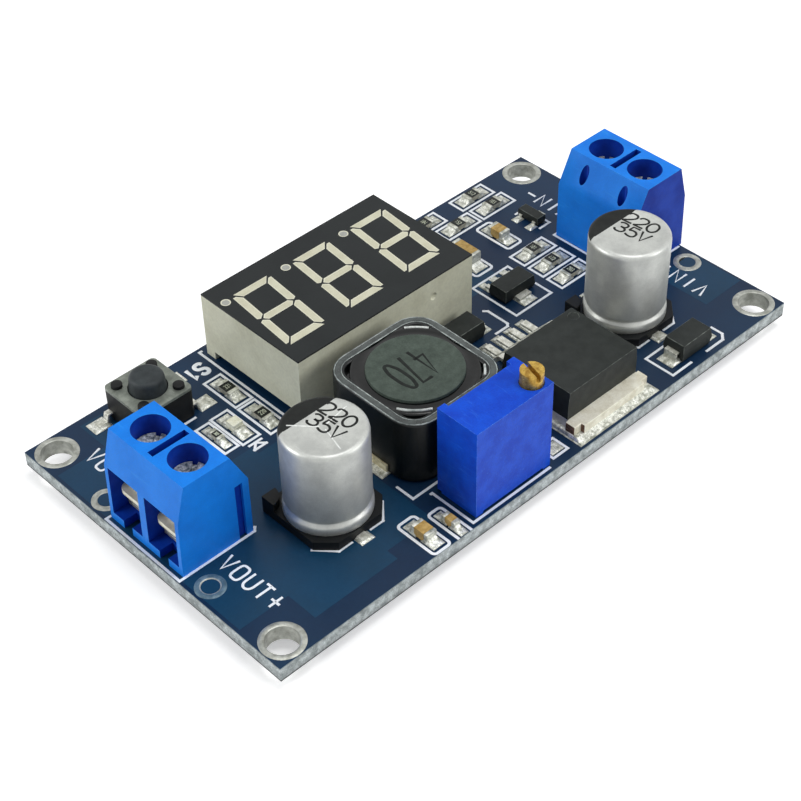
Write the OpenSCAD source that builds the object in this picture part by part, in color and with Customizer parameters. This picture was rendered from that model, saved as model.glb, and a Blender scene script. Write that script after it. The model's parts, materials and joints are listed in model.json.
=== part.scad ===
// Adjustable step-down converter module with a three-digit meter and screw terminals.
// Frame: origin at the centre of the corner-hole pattern on the board's underside,
// +X towards the output terminal, +Y towards the trimmer, +Z up through the components.

/* [Board] */
// Length of the board along X
board_l = 66.5; // [66:0.1:80]
// Width of the board along Y
board_w = 36; // [35.8:0.1:50]
// Thickness of the board
board_t = 1.6; // [1:0.1:2.4]
// Distance of each corner-hole centre from the two board edges beside it
corner_hole_inset = 2.15; // [2.15:0.05:2.6]
// Radius of a plated corner hole
corner_hole_r = 1.55; // [1:0.05:1.6]
// Radius of the ring around a corner hole
corner_ring_r = 2.1; // [1.8:0.05:2.15]
// Radius of a plated wire hole
wire_hole_r = 0.85; // [0.5:0.05:1]
// Radius of the ring around a wire hole
wire_ring_r = 1.45; // [1.2:0.05:1.6]
// Distance of the wire-hole centres from the board's short edges
wire_hole_inset = 1.7; // [1.6:0.05:2]
// Place along Y of the positive wire holes
wire_hole_plus_y = 7; // [6.6:0.05:9]
// Place along Y of the negative wire holes
wire_hole_minus_y = -7.65; // [-10:0.05:-7.4]
// Thickness of the plating in a hole
plating_t = 0.05; // [0.03:0.01:0.1]
// Thickness of the solder pads and of the rings
pad_t = 0.05; // [0.03:0.01:0.1]
// Thickness of the white print
print_t = 0.02; // [0.01:0.01:0.05]
// Width of a line of the white print
print_line = 0.22; // [0.15:0.01:0.3]
// Length of a trimmed pin below the board
pin_tail = 1.3; // [1:0.1:2]
// Height of a solder cone below the board
solder_h = 0.8; // [0.4:0.1:0.9]
// Radius of a solder cone at the board
solder_r = 1; // [0.9:0.05:1.2]

/* [Screw terminals] */
// Distance of the output terminal's screw row from the board's output end
output_terminal_inset = 4.5; // [4:0.05:5.5]
// Distance of the input terminal's screw row from the board's input end
input_terminal_inset = 3.55; // [3.4:0.05:5.5]
// Place along Y of the middle of both screw rows
terminal_y = -0.55; // [-2:0.05:2]
// Distance between the two screws of a terminal
pole_pitch = 5.08; // [5:0.01:5.3]
// Length of a terminal along its screw row
terminal_l = 10.2; // [10.1:0.05:10.8]
// Height of a terminal above the board
terminal_h = 10; // [9.6:0.1:12]
// Height at which the wire face starts to slope back
face_break_z = 6.3; // [6:0.1:6.4]
// Height at which the rear face starts to slope in
rear_break_z = 6.5; // [6:0.1:7.4]
// Distance of the wire face from the screw row, at the board
face_foot_u = 3.8; // [3.5:0.05:4.2]
// Distance of the wire face from the screw row, where its slope starts
face_break_u = 3.62; // [3.4:0.01:3.8]
// Distance of the top's front edge from the screw row
top_front_u = 2.6; // [2.4:0.05:3]
// Distance of the top's rear edge from the screw row
top_rear_u = 2.4; // [2.2:0.05:2.8]
// Distance of the rear face from the screw row
rear_u = 4.12; // [3.9:0.01:4.5]
// Radius of the well that a screw head turns in
well_r = 1.775; // [1.7:0.005:1.8]
// Height of the seat at the bottom of a screw well
well_seat_z = 6.9; // [6.9:0.05:7.1]
// Radius of the small blind hole behind each well
core_hole_r = 0.48; // [0.3:0.01:0.6]
// Distance of the small blind holes behind the screw row
core_hole_u = 3.2; // [3:0.05:3.3]
// Height of the bottom of the small blind holes
core_hole_z = 5; // [3:0.1:7]
// Thickness of the wall between the two wire pockets
pocket_wall = 0.9; // [0.8:0.05:1.1]
// Height of the floor of a wire pocket
pocket_floor_z = 0.9; // [0.6:0.05:0.95]
// Height of the roof of a wire pocket
pocket_roof_z = 6.5; // [6.45:0.05:6.6]
// Distance of a pocket's rear wall from the screw row
pocket_rear_u = 1.95; // [1.75:0.05:2.2]
// Width of the slit in a pocket's floor
floor_slit_w = 1.24; // [0.6:0.02:1.4]
// Distance of the slit's inner end from the screw row
floor_slit_u = 2.3; // [2.2:0.05:2.8]
// Length of the cross slot in the top, between the wells
top_slot_l = 4; // [3:0.1:4.6]
// Width of the cross slot in the top
top_slot_w = 0.72; // [0.5:0.01:1]
// Depth of the cross slot in the top
top_slot_d = 1.6; // [0.5:0.1:2.5]
// Width of the joining groove and tongue on the ends of a terminal
tongue_w = 0.85; // [0.5:0.05:1]
// Depth of the joining groove
tongue_d = 0.3; // [0.2:0.05:0.35]
// Distance of the joining groove behind the screw row
tongue_u = 3; // [2.9:0.05:3.4]
// Height of the joining groove
tongue_h = 6.4; // [4:0.1:7.2]
// Thickness of a fixed contact
contact_t = 0.5; // [0.4:0.05:0.6]
// Width of a fixed contact inside its cage
contact_w = 2.4; // [1.8:0.05:2.6]
// Width of a fixed contact's lip in front of the cage
contact_lip_w = 3.8; // [3:0.05:3.9]
// Radius of the lip's corners
contact_lip_r = 0.9; // [0.2:0.05:1]
// Distance that a fixed contact reaches in front of the screw row
contact_reach = 3.05; // [2.9:0.05:3.2]
// Height of the underside of a fixed contact
contact_z = 3.3; // [3.2:0.05:3.4]
// Width of a contact's solder pin
contact_pin_w = 1; // [0.7:0.05:1.1]

/* [Screw clamps] */
// Width of a clamp cage across the pocket
clamp_w = 3.9; // [3.6:0.05:4]
// Distance of a cage's front from the screw row
clamp_front = 2.15; // [1.8:0.05:2.2]
// Distance of a cage's rear from the screw row
clamp_rear = 1.6; // [1.4:0.05:1.7]
// Height inside a clamp cage
clamp_inner_h = 2.5; // [2.45:0.05:2.55]
// Thickness of a cage's threaded top
clamp_top_t = 0.7; // [0.5:0.05:0.7]
// Thickness of a cage's sides
clamp_side_t = 0.45; // [0.3:0.05:0.5]
// Thickness of a cage's bottom
clamp_bottom_t = 0.4; // [0.3:0.05:0.4]
// Gap for the wire between cage and contact, at rest with the clamp open
wire_gap = 1.9; // [1.85:0.05:1.95]
// Radius of a screw's head
head_r = 1.7; // [1.5:0.01:1.72]
// Height of a screw's head
head_h = 0.95; // [0.8:0.05:1.2]
// Radius of a screw's shank
shank_r = 1.2; // [1:0.01:1.2]
// Width of a screw's driving slot
drive_slot_w = 0.5; // [0.3:0.05:0.6]
// Depth of a screw's driving slot
drive_slot_d = 0.4; // [0.3:0.05:0.6]
// Angle of the screws' slots at rest
drive_slot_turn = 35; // [0:5:90]
// Clearance around what turns or slides
run_gap = 0.06; // [0.02:0.01:0.09]

/* [Capacitors] */
// Output capacitor's distance from the board's output end, and its place along Y
output_capacitor_inset = [14.9, 7.5]; // [5:0.05:30]
// Input capacitor's distance from the board's input end, and its place along Y
input_capacitor_inset = [12.75, 8.05]; // [5:0.05:30]
// Radius of a capacitor can
can_r = 4; // [3.9:0.05:4]
// Height of a can's top above the board
can_top_z = 10.36; // [8:0.05:12]
// Height of a can's rim above the board
can_foot_z = 1; // [0.9:0.05:1.4]
// Radius of a can's rounded top edge
can_edge_r = 0.55; // [0.35:0.05:0.9]
// Flare of a can's rim
can_flare = 0.1; // [0.05:0.01:0.1]
// Thickness of a can's wall
can_wall = 0.3; // [0.2:0.05:0.4]
// Depth of the rolled groove near a can's foot
can_groove_d = 0.22; // [0.1:0.02:0.25]
// Height of the middle of that groove
can_groove_z = 2.3; // [2.2:0.1:3.4]
// Side of a capacitor's base
capacitor_base_w = 8.3; // [8.3:0.05:8.6]
// Chamfer of the base's positive corners
capacitor_base_chamfer = 1.6; // [1:0.05:2]
// Height of the base's two corner ears above the board
capacitor_ear_z = 1.9; // [1.4:0.1:2.1]
// Radius of the base's two corner ears
capacitor_ear_r = 1.55; // [1:0.05:1.8]
// Width of a capacitor's lead
capacitor_lead_w = 0.9; // [0.6:0.05:1.1]
// Length of a lead outside the base
capacitor_lead_out = 0.8; // [0.4:0.05:1]
// Distance of the black mark's edge from the can's axis
mark_offset = 2; // [1.5:0.05:2.6]

/* [Inductor] */
// Centre of the inductor
inductor_at = [5.1, 5]; // [-20:0.05:20]
// Side of the inductor's shield
shield_w = 12.3; // [12:0.05:12.5]
// Radius of the shield's corners
shield_corner_r = 2.8; // [2:0.05:3]
// Height of the shield's top above the board
shield_top_z = 7; // [6.5:0.05:7.5]
// Radius of the hole in the shield
shield_hole_r = 5.65; // [5.3:0.05:5.7]
// Side of the corner pockets in the shield
shield_pocket_w = 9.9; // [9:0.05:10]
// Radius of the core's upper flange
core_top_r = 4.6; // [4.4:0.05:5]
// Height of the core's top above the board
core_top_z = 7.3; // [7:0.05:7.8]
// Thickness of the core's flanges
core_flange_t = 1.1; // [0.8:0.05:1.3]
// Radius of the core's centre post
core_post_r = 2.2; // [1.8:0.05:3]
// Radius of the winding
winding_r = 4.3; // [3.6:0.05:4.4]
// Width of an inductor terminal
inductor_terminal_w = 5.4; // [3:0.1:6]
// Thickness of an inductor terminal
inductor_terminal_t = 0.2; // [0.1:0.05:0.25]
// Height of an inductor terminal's upright
inductor_terminal_h = 1; // [0.6:0.1:3]
// Length of an inductor terminal's foot under the shield
inductor_foot_l = 2.4; // [1.5:0.1:3]

/* [Regulator] */
// Centre of the regulator's moulded body
regulator_at = [-9.05, 11.12]; // [-20:0.01:20]
// Width of the regulator's body
regulator_w = 9.5; // [9:0.05:10.3]
// Length of the regulator's body
regulator_l = 8.4; // [8:0.05:9.2]
// Height of the body's top above the board
regulator_top_z = 4.5; // [4.2:0.05:4.8]
// Draft of the body's upper edges
regulator_draft = 0.15; // [0:0.05:0.4]
// Distance between the regulator's leads
regulator_pitch = 1.7; // [1.6:0.01:1.75]
// Number of the regulator's leads
regulator_leads_n = 5; // [3:1:5]
// Width of a lead
regulator_lead_w = 0.8; // [0.6:0.05:0.9]
// Thickness of a lead
regulator_lead_t = 0.45; // [0.3:0.05:0.5]
// Distance that the leads reach from the body
regulator_lead_out = 4.95; // [4:0.05:5.2]
// Length of a lead's flat foot
regulator_foot_l = 1.9; // [1:0.05:2.4]
// Thickness of the heat tab
tab_t = 1.27; // [1:0.01:1.4]
// Width of the heat tab where it stands out of the body
tab_w = 10.2; // [9.8:0.05:10.4]
// Distance that the heat tab stands out of the body
tab_out = 1.6; // [1:0.05:1.8]
// Depth of the notches in the tab's outer corners
tab_notch = 0.45; // [0.3:0.05:0.9]
// Width of the notches in the tab's outer corners
tab_notch_w = 0.9; // [0.5:0.05:1.5]

/* [Diodes and small packages] */
// Centre of the output diode
output_diode_at = [-6.45, -0.65]; // [-30:0.05:30]
// Input diode's distance from the board's input end, and its place along Y
input_diode_inset = [12.1, 15.55]; // [5:0.05:30]
// Length, width and height of a diode's body
diode_size = [4.3, 2.6, 2]; // [0.5:0.05:6]
// Width of a diode's leads
diode_lead_w = 1.45; // [1:0.05:1.6]
// Thickness of a diode's leads
diode_lead_t = 0.25; // [0.15:0.05:0.3]
// Length of a diode's lead outside the body
diode_lead_out = 0.45; // [0.3:0.05:0.6]
// Meter regulator's distance from the board's input end, and its place along Y
meter_regulator_inset = [17.65, -2.5]; // [-10:0.05:30]
// Length, width and height of that regulator's body
meter_regulator_size = [4.3, 2.4, 1.5]; // [0.5:0.05:6]
// Distance between its legs
meter_regulator_pitch = 1.5; // [1.3:0.05:1.6]
// Width and thickness of its legs
meter_leg = [0.5, 0.4]; // [0.2:0.05:0.8]
// Transistor's distance from the board's input end, and its place along Y
transistor_inset = [7.5, -9.35]; // [-20:0.05:30]
// Length, width and height of the transistor's body
transistor_size = [1.3, 2.9, 1]; // [0.5:0.05:6]
// Distance between the transistor's paired legs
transistor_pitch = 1.9; // [1.8:0.05:2]
// Reach, width and thickness of the transistor's legs
transistor_leg = [0.65, 0.4, 0.14]; // [0.1:0.01:1]

/* [Display] */
// Centre of the display
display_at = [1.07, -9.87]; // [-10:0.01:10]
// Length of the display
display_l = 22.5; // [22:0.1:24]
// Width of the display
display_w = 14; // [13.6:0.1:15]
// Height of the display's face above the board
display_top_z = 7.42; // [7:0.01:8.5]
// Thickness of the black face
display_face_t = 0.15; // [0.1:0.05:0.3]
// Wall of the display's shell under its face
display_wall = 0.8; // [0.5:0.05:1]
// Height of the shell's corner feet
display_foot_h = 0.9; // [0.5:0.05:1.2]
// Length of a corner foot
display_foot_l = 1.3; // [0.8:0.05:2]
// Thickness of the display's own circuit board
display_board_t = 1; // [0.8:0.1:1.2]
// Height of the display's own circuit board above the main board
display_board_z = 1.4; // [1.3:0.05:1.6]
// Distance between the digits
digit_pitch = 7.53; // [7.4:0.01:7.8]
// Number of digits
digits_n = 3; // [1:1:3]
// Height of a digit
digit_h = 9.3; // [8.5:0.05:9.6]
// Width of a digit
digit_w = 4.75; // [4.2:0.05:5]
// Width of a lit bar
bar_w = 0.85; // [0.6:0.05:1]
// Gap between two lit bars
bar_gap = 0.24; // [0.15:0.01:0.4]
// Lean of the digits
digit_lean = 5.4; // [0:0.1:10]
// Radius of a decimal point
point_r = 0.5; // [0.35:0.05:0.6]
// Place of a decimal point from its digit's centre
point_at = [2.85, -4.3]; // [-5:0.05:5]
// Distance between the display's two rows of pins
display_row_gap = 10.16; // [9:0.01:11]
// Distance between pins in a row
pin_pitch = 2.54; // [2:0.01:2.54]
// Pins in each row of the display
display_pins_n = 6; // [4:1:7]
// Radius of a round pin
pin_r = 0.25; // [0.2:0.01:0.3]

/* [Button] */
// Button's distance from the board's output end, and its place along Y
button_inset = [11.58, -13.71]; // [-20:0.01:30]
// Side of the button's base
button_w = 6; // [5.8:0.05:6.2]
// Height of the button's metal cover above the board
button_cover_z = 3.56; // [3.3:0.02:4]
// Thickness of the metal cover
button_cover_t = 0.3; // [0.2:0.05:0.4]
// Radius of the corners of base and cover
button_corner_r = 0.5; // [0.3:0.05:1]
// Radius of the plunger at the cover
plunger_r = 1.85; // [1.5:0.05:1.85]
// Taper of the plunger towards its top
plunger_taper = 0.2; // [0.05:0.05:0.4]
// Height of the plunger's top above the board
plunger_top_z = 5.1; // [4.5:0.05:7]
// Travel of the plunger
plunger_travel = 0.25; // [0.15:0.01:0.25]
// Gap between plunger and dome at rest
dome_gap = 0.3; // [0.3:0.01:0.4]
// Radius of a corner stud
stud_r = 0.55; // [0.3:0.05:0.55]
// Distance of a stud from the cover's sides
stud_inset = 0.95; // [0.8:0.05:1.1]
// Height that a stud stands above the cover
stud_h = 0.35; // [0.05:0.05:0.4]
// Width of a button's leg
button_leg_w = 0.7; // [0.5:0.05:0.8]
// Distance between the legs on one side
button_leg_gap = 4.5; // [4:0.05:4.8]
// Distance that a leg reaches from the base
button_leg_out = 1.7; // [1:0.05:2]
// Thickness of a leg
button_leg_t = 0.2; // [0.1:0.05:0.25]
// Height at which the legs leave the base
button_leg_z = 0.8; // [0.6:0.05:0.9]

/* [Trimmer] */
// Centre of the trimmer's foot
trimmer_at = [4.9, 14.84]; // [-20:0.01:20]
// Length of the trimmer
trimmer_l = 9.53; // [9.3:0.01:9.8]
// Width of the trimmer with its rear ribs
trimmer_w = 4.83; // [4.6:0.01:5]
// Height of the trimmer's top above the board
trimmer_h = 10.03; // [9.6:0.01:10.5]
// Depth of the rear ribs
trimmer_rib_d = 0.5; // [0.3:0.05:0.7]
// Width of the rear ribs
trimmer_rib_w = 0.9; // [0.5:0.05:1.2]
// Wall of the trimmer's housing
trimmer_wall = 0.5; // [0.35:0.01:0.5]
// Height of the trimmer's base plate
trimmer_base_t = 0.9; // [0.7:0.05:1]
// Height of the base plate's underside above the board
trimmer_standoff = 0.25; // [0.1:0.05:0.3]
// Distance of the adjusting screw from the housing's end
adjuster_inset = 1.34; // [1.3:0.01:2]
// Distance of the adjusting screw from the housing's front
adjuster_front = 1.4; // [1.3:0.05:1.8]
// Radius of the adjusting screw's head
adjuster_r = 1.1; // [0.9:0.01:1.12]
// Height of the adjusting screw above the housing
adjuster_out = 1.45; // [1:0.05:2]
// Radius of the adjusting screw's lead thread
lead_screw_r = 0.6; // [0.4:0.05:0.7]
// Width of the adjusting screw's slot
adjuster_slot_w = 0.42; // [0.3:0.02:0.6]
// Depth of the adjusting screw's slot
adjuster_slot_d = 0.7; // [0.4:0.05:0.9]
// Angle of the adjusting screw's slot at rest
adjuster_turn = 75; // [0:5:180]
// Height of the carriage
carriage_h = 2; // [1.6:0.1:2]
// Height of the carriage's middle above the board
carriage_z = 5.2; // [5.1:0.1:5.3]
// Thickness of the resistive element
element_t = 0.6; // [0.4:0.05:0.8]

/* [Chips] */
// Body of a large chip part: length, width, and height as a capacitor
large_chip = [3.2, 1.6, 1.5]; // [0.3:0.05:4]
// Body of a medium chip part: length, width, and height as a capacitor
medium_chip = [2, 1.25, 1]; // [0.3:0.05:3]
// Body of a small chip part: length, width, and height as a capacitor
small_chip = [1.6, 0.8, 0.8]; // [0.3:0.05:2]
// Height of a chip resistor
resistor_h = 0.55; // [0.4:0.05:0.7]
// Height of the indicator lamp
lamp_h = 0.8; // [0.6:0.05:1.1]
// Length of a chip's metal end
chip_end = 0.4; // [0.2:0.05:0.5]
// Gap between a chip's metal end and the middle of its pad's inner edge
chip_pad_in = 0.3; // [0.1:0.05:0.4]
// Distance that a pad reaches past its chip's end
chip_pad_out = 0.95; // [0.5:0.05:1]
// Length, width and height of the meter's hidden controller
controller_size = [6.5, 4.4, 0.9]; // [0.5:0.1:8]
// Distance between the controller's legs
controller_pitch = 0.65; // [0.5:0.05:0.7]
// Width, length and thickness of the controller's legs
controller_leg = [0.25, 0.6, 0.15]; // [0.1:0.05:0.8]

/* [Hidden] */
$fn = 64;

eps = 0.01;                    // overrun of a cut past the face that it opens
top = board_t;                 // height of the board's upper face
on_pad = board_t + pad_t;      // height at which leads and feet rest

// Parts near an end of the board keep their distance from that end
function out_x(inset) = board_l / 2 - inset;
function in_x(inset) = inset - board_l / 2;
function by_output(inset) = [out_x(inset.x), inset.y];
function by_input(inset) = [in_x(inset.x), inset.y];
output_terminal_at = [out_x(output_terminal_inset), terminal_y];
input_terminal_at = [in_x(input_terminal_inset), terminal_y];
output_capacitor_at = by_output(output_capacitor_inset);
input_capacitor_at = by_input(input_capacitor_inset);
input_diode_at = by_input(input_diode_inset);
meter_regulator_at = by_input(meter_regulator_inset);
transistor_at = by_input(transistor_inset);
button_at = by_output(button_inset);
test_pad_at = [-1.65, 16];

// Places of the chip parts: [x, y, turn, body]
RESISTORS = [
    [out_x(18.8), -11.2, 90, medium_chip], [out_x(18.8), -6.1, 90, medium_chip],
    [out_x(13.86), -6.85, 90, small_chip],
    [in_x(9.2), -16.5, 0, medium_chip], [in_x(8.7), -13.9, 0, medium_chip],
    [in_x(13.9), -13.9, 0, medium_chip], [in_x(16.4), -16.5, 0, medium_chip],
    [in_x(11.45), -5.4, 0, medium_chip], [in_x(11.45), -2.8, 0, medium_chip],
    [in_x(11.45), -0.2, 0, medium_chip]
];
CAPACITORS = [
    [out_x(18.85), 15.5, 90, medium_chip], [out_x(21.5), 16.2, 90, small_chip],
    [in_x(12), -9.8, 90, medium_chip], [in_x(17.4), -9.5, 90, large_chip]
];
LAMP = [out_x(16), -6.8, 90, medium_chip];

// Places derived from the board's outline
corner_x = board_l / 2 - corner_hole_inset;
corner_y = board_w / 2 - corner_hole_inset;
wire_x = board_l / 2 - wire_hole_inset;
corner_holes = [for (x = [-1, 1], y = [-1, 1]) [x * corner_x, y * corner_y]];
wire_holes = [for (x = [-1, 1], y = [wire_hole_plus_y, wire_hole_minus_y]) [x * wire_x, y]];

// Screw terminals: heights are above the board's upper face
pocket_w = pole_pitch - pocket_wall;
contact_top_z = contact_z + contact_t;
clamp_floor_z = contact_z - wire_gap - clamp_bottom_t;
clamp_h = clamp_bottom_t + clamp_inner_h + clamp_top_t;
head_z = well_seat_z + run_gap;
pin_hole_r = norm([contact_pin_w, contact_t]) / 2 + run_gap;
round_pin_hole_r = pin_r + 0.12;

// Trimmer: its adjusting screw stands near the end that faces the regulator
trimmer_body_w = trimmer_w - trimmer_rib_d;
adjuster_x = -trimmer_l / 2 + adjuster_inset;
adjuster_y = trimmer_w / 2 - adjuster_front;
trimmer_rear_y = -trimmer_w / 2 + trimmer_rib_d;

// Button: the plunger's flange hides under the cover
button_base_z = button_cover_z - button_cover_t;
plunger_foot_z = 2.5;
dome_top_z = plunger_foot_z - dome_gap;
button_floor_z = 1.2;
dome_r = 2;
flange_r = plunger_r + 0.3;

display_cavity_top = display_top_z - display_face_t - 0.6;

// ---- shared shapes ----

// Flat outline with round corners, centred
module rounded(l, w, r) {
    square([l - 2 * r, w], center = true);
    square([l, w - 2 * r], center = true);
    for (x = [-1, 1], y = [-1, 1])
        translate([x * (l / 2 - r), y * (w / 2 - r)]) circle(r);
}

// Upright plate with round corners, its foot at z
module rounded_plate(l, w, h, r, z = 0) {
    translate([0, 0, z]) linear_extrude(h) rounded(l, w, r);
}

// Block centred over the origin, its foot at z
module block(size, z = 0) {
    translate([0, 0, z + size.z / 2]) cube(size, center = true);
}

// Copies its children onto each place of a list
module at_each(places) {
    for (p = places) translate([p.x, p.y, 0]) children();
}

// Side view drawn in X and Z, stretched along Y and centred
module profile_along_y(w, points) {
    rotate([90, 0, 0]) linear_extrude(w, center = true) polygon(points);
}

// Moves a piece from its terminal's own frame to its place on the board
module on_terminal(place, turn) {
    translate([place.x, place.y, top]) rotate([0, 0, turn]) children();
}

// Moves a piece to its place on the board's upper face
module on_board(place) {
    translate([place.x, place.y, top]) children();
}

function pole_v(pole) = (pole - 1.5) * pole_pitch;
function terminal_turn(place) = place.x > 0 ? 0 : 180;

// ---- board ----

module pin_holes() {
    for (place = [output_terminal_at, input_terminal_at], pole = [1, 2])
        translate([place.x, place.y, 0]) rotate([0, 0, terminal_turn(place)])
            translate([-pocket_rear_u - contact_t / 2, pole_v(pole), 0])
                children(0);
    at_each(round_pins()) children(1);
}

function trimmer_pin_places() =
    [for (i = [-1:1]) [trimmer_at.x + i * pin_pitch, trimmer_at.y]];
function display_pin_places() = [
    for (i = [0:display_pins_n - 1], side = [-1, 1])
        [display_at.x + (i - (display_pins_n - 1) / 2) * pin_pitch,
         display_at.y + side * display_row_gap / 2]
];
function round_pins() = concat(trimmer_pin_places(), display_pin_places());

module circuit_board() {
    color("midnightblue") difference() {
        translate([-board_l / 2, -board_w / 2, 0]) cube([board_l, board_w, board_t]);
        at_each(corner_holes)
            translate([0, 0, -1]) cylinder(r = corner_hole_r + plating_t, h = board_t + 2);
        at_each(wire_holes)
            translate([0, 0, -1]) cylinder(r = wire_hole_r, h = board_t + 2);
        pin_holes() {
            translate([0, 0, -1]) cylinder(r = pin_hole_r, h = board_t + 2);
            translate([0, 0, -1]) cylinder(r = round_pin_hole_r, h = board_t + 2);
        }
    }
}

// Ring around a hole on each face of the board
module hole_rings(hole_r, ring_r) {
    rotate_extrude() for (z = [-pad_t, board_t])
        translate([hole_r, z]) square([ring_r - hole_r, pad_t]);
}

// Corner holes are sleeved, the small wire holes only ringed
module hole_plating() {
    color("silver") {
        at_each(corner_holes) {
            hole_rings(corner_hole_r, corner_ring_r);
            rotate_extrude() translate([corner_hole_r, -pad_t]) square([plating_t, board_t + 2 * pad_t]);
        }
        at_each(wire_holes) hole_rings(wire_hole_r, wire_ring_r);
    }
}

// Two pads of a chip part
module chip_pads(chip) {
    body = chip[3];
    inner = body.x / 2 - chip_end - chip_pad_in;
    outer = body.x / 2 + chip_pad_out;
    translate([chip.x, chip.y, top]) rotate([0, 0, chip[2]]) for (side = [-1, 1])
        translate([side * (inner + outer) / 2, 0, 0])
            block([outer - inner, body.y + 0.15, pad_t]);
}

// A pad given by its two opposite corners
module pad(low, high) {
    translate([low.x, low.y, top]) cube([high.x - low.x, high.y - low.y, pad_t]);
}

// A pad given by its centre and size
module pad_at(place, size) {
    on_board(place) block([size.x, size.y, pad_t]);
}

function regulator_lead_x(i) =
    regulator_at.x + (i - (regulator_leads_n - 1) / 2) * regulator_pitch;
regulator_lead_end_y = regulator_at.y - regulator_l / 2 - regulator_lead_out;
tab_front_y = regulator_at.y + regulator_l / 2 + tab_out;

module solder_pads() {
    color("gainsboro") {
        for (chip = concat(RESISTORS, CAPACITORS, [LAMP])) chip_pads(chip);
        // regulator: one pad per lead and the wide one under its heat tab
        for (i = [0:regulator_leads_n - 1])
            pad_at([regulator_lead_x(i), regulator_lead_end_y + 0.7], [1.1, 2.6]);
        pad([regulator_at.x - 5.5, regulator_at.y - 2.5], [regulator_at.x + 5.5, tab_front_y + 0.8]);
        // capacitors, lead ends fore and aft
        for (place = [output_capacitor_at, input_capacitor_at], side = [-1, 1])
            pad_at(place + [0, side * (capacitor_base_w / 2 - 0.1)], [1.55, 2.3]);
        // inductor
        for (side = [-1, 1])
            pad_at(inductor_at + [side * (shield_w / 2 - 0.6), 0], [3.2, inductor_terminal_w + 0.4]);
        // diodes
        for (place = [output_diode_at, input_diode_at], side = [-1, 1])
            pad_at(place + [side * (diode_size.x / 2 + 0.05), 0], [2.3, diode_lead_w + 0.5]);
        // meter regulator: three legs and its tab
        for (i = [-1:1])
            pad_at(meter_regulator_at + [i * meter_regulator_pitch, -2.15], [0.85, 1.5]);
        pad_at(meter_regulator_at + [0, 1.7], [1.9, 1.9]);
        // transistor
        for (leg = transistor_legs()) pad_at(transistor_at + [leg.x * 1.1, leg.y], [1.1, 0.9]);
        // button
        for (leg = button_leg_places())
            pad_at(button_at + [sign(leg.x) * (button_w / 2 + button_leg_out - 0.2), leg.y], [1.9, 1.7]);
        // test pad beside the trimmer
        pad_at(test_pad_at, [1.55, 1.35]);
        // meter controller
        for (side = [-1, 1], i = [-4:4])
            pad_at(display_at + [i * controller_pitch, side * (controller_size.y / 2 + 0.1)],
                [controller_leg.x + 0.1, controller_leg.y + 0.3]);
    }
}

// ---- white print ----

// Outline of a part, drawn as a frame whose long side may have a gap
module print_frame(l, w, r = 0, gap = 0) {
    linear_extrude(print_t) difference() {
        if (r > 0) rounded(l, w, r); else square([l, w], center = true);
        if (r > 0) rounded(l - 2 * print_line, w - 2 * print_line, r - print_line);
        else square([l - 2 * print_line, w - 2 * print_line], center = true);
        if (gap > 0) translate([0, w / 2]) square([gap, 4 * print_line], center = true);
    }
}

// Straight printed line between two points, with square ends
module print_line_between(a, b) {
    d = b - a;
    translate([a.x, a.y, 0]) rotate([0, 0, atan2(d.y, d.x)])
        translate([-print_line / 2, -print_line / 2, 0]) cube([norm(d) + print_line, print_line, print_t]);
}

module print_path(points) {
    union() for (i = [0:len(points) - 2]) print_line_between(points[i], points[i + 1]);
}

module chip_print(chip, r, gap) {
    body = chip[3];
    translate([chip.x, chip.y, top]) rotate([0, 0, chip[2]])
        print_frame(body.x + 2 * chip_pad_out + 1.05, body.y + 1, r, gap);
}

// Corner lines around a screw terminal's foot
module terminal_print(place) {
    on_terminal(place, terminal_turn(place)) {
        half = terminal_l / 2 + 0.12;
        front = board_l / 2 - abs(place.x) - 0.2;
        if (front > face_foot_u + print_line)
            print_path([[front - 0.45, -half], [front, -half], [front, half], [-rear_u, half],
                [-rear_u - 0.35, half - 0.35]]);
        else
            print_path([[front - 0.15, -half], [-rear_u - 0.2, -half], [-rear_u - 0.2, half],
                [front - 0.15, half]]);
    }
}

// Cornered outline in front of a capacitor's positive lead
module capacitor_print(place) {
    reach = capacitor_base_w / 2 + 0.05;
    low = reach - 1.75;
    on_board(place) for (side = [-1, 1])
        print_path([[side * reach, low], [side * (reach - 1.6), reach], [side * 1.15, reach]]);
}

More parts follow.
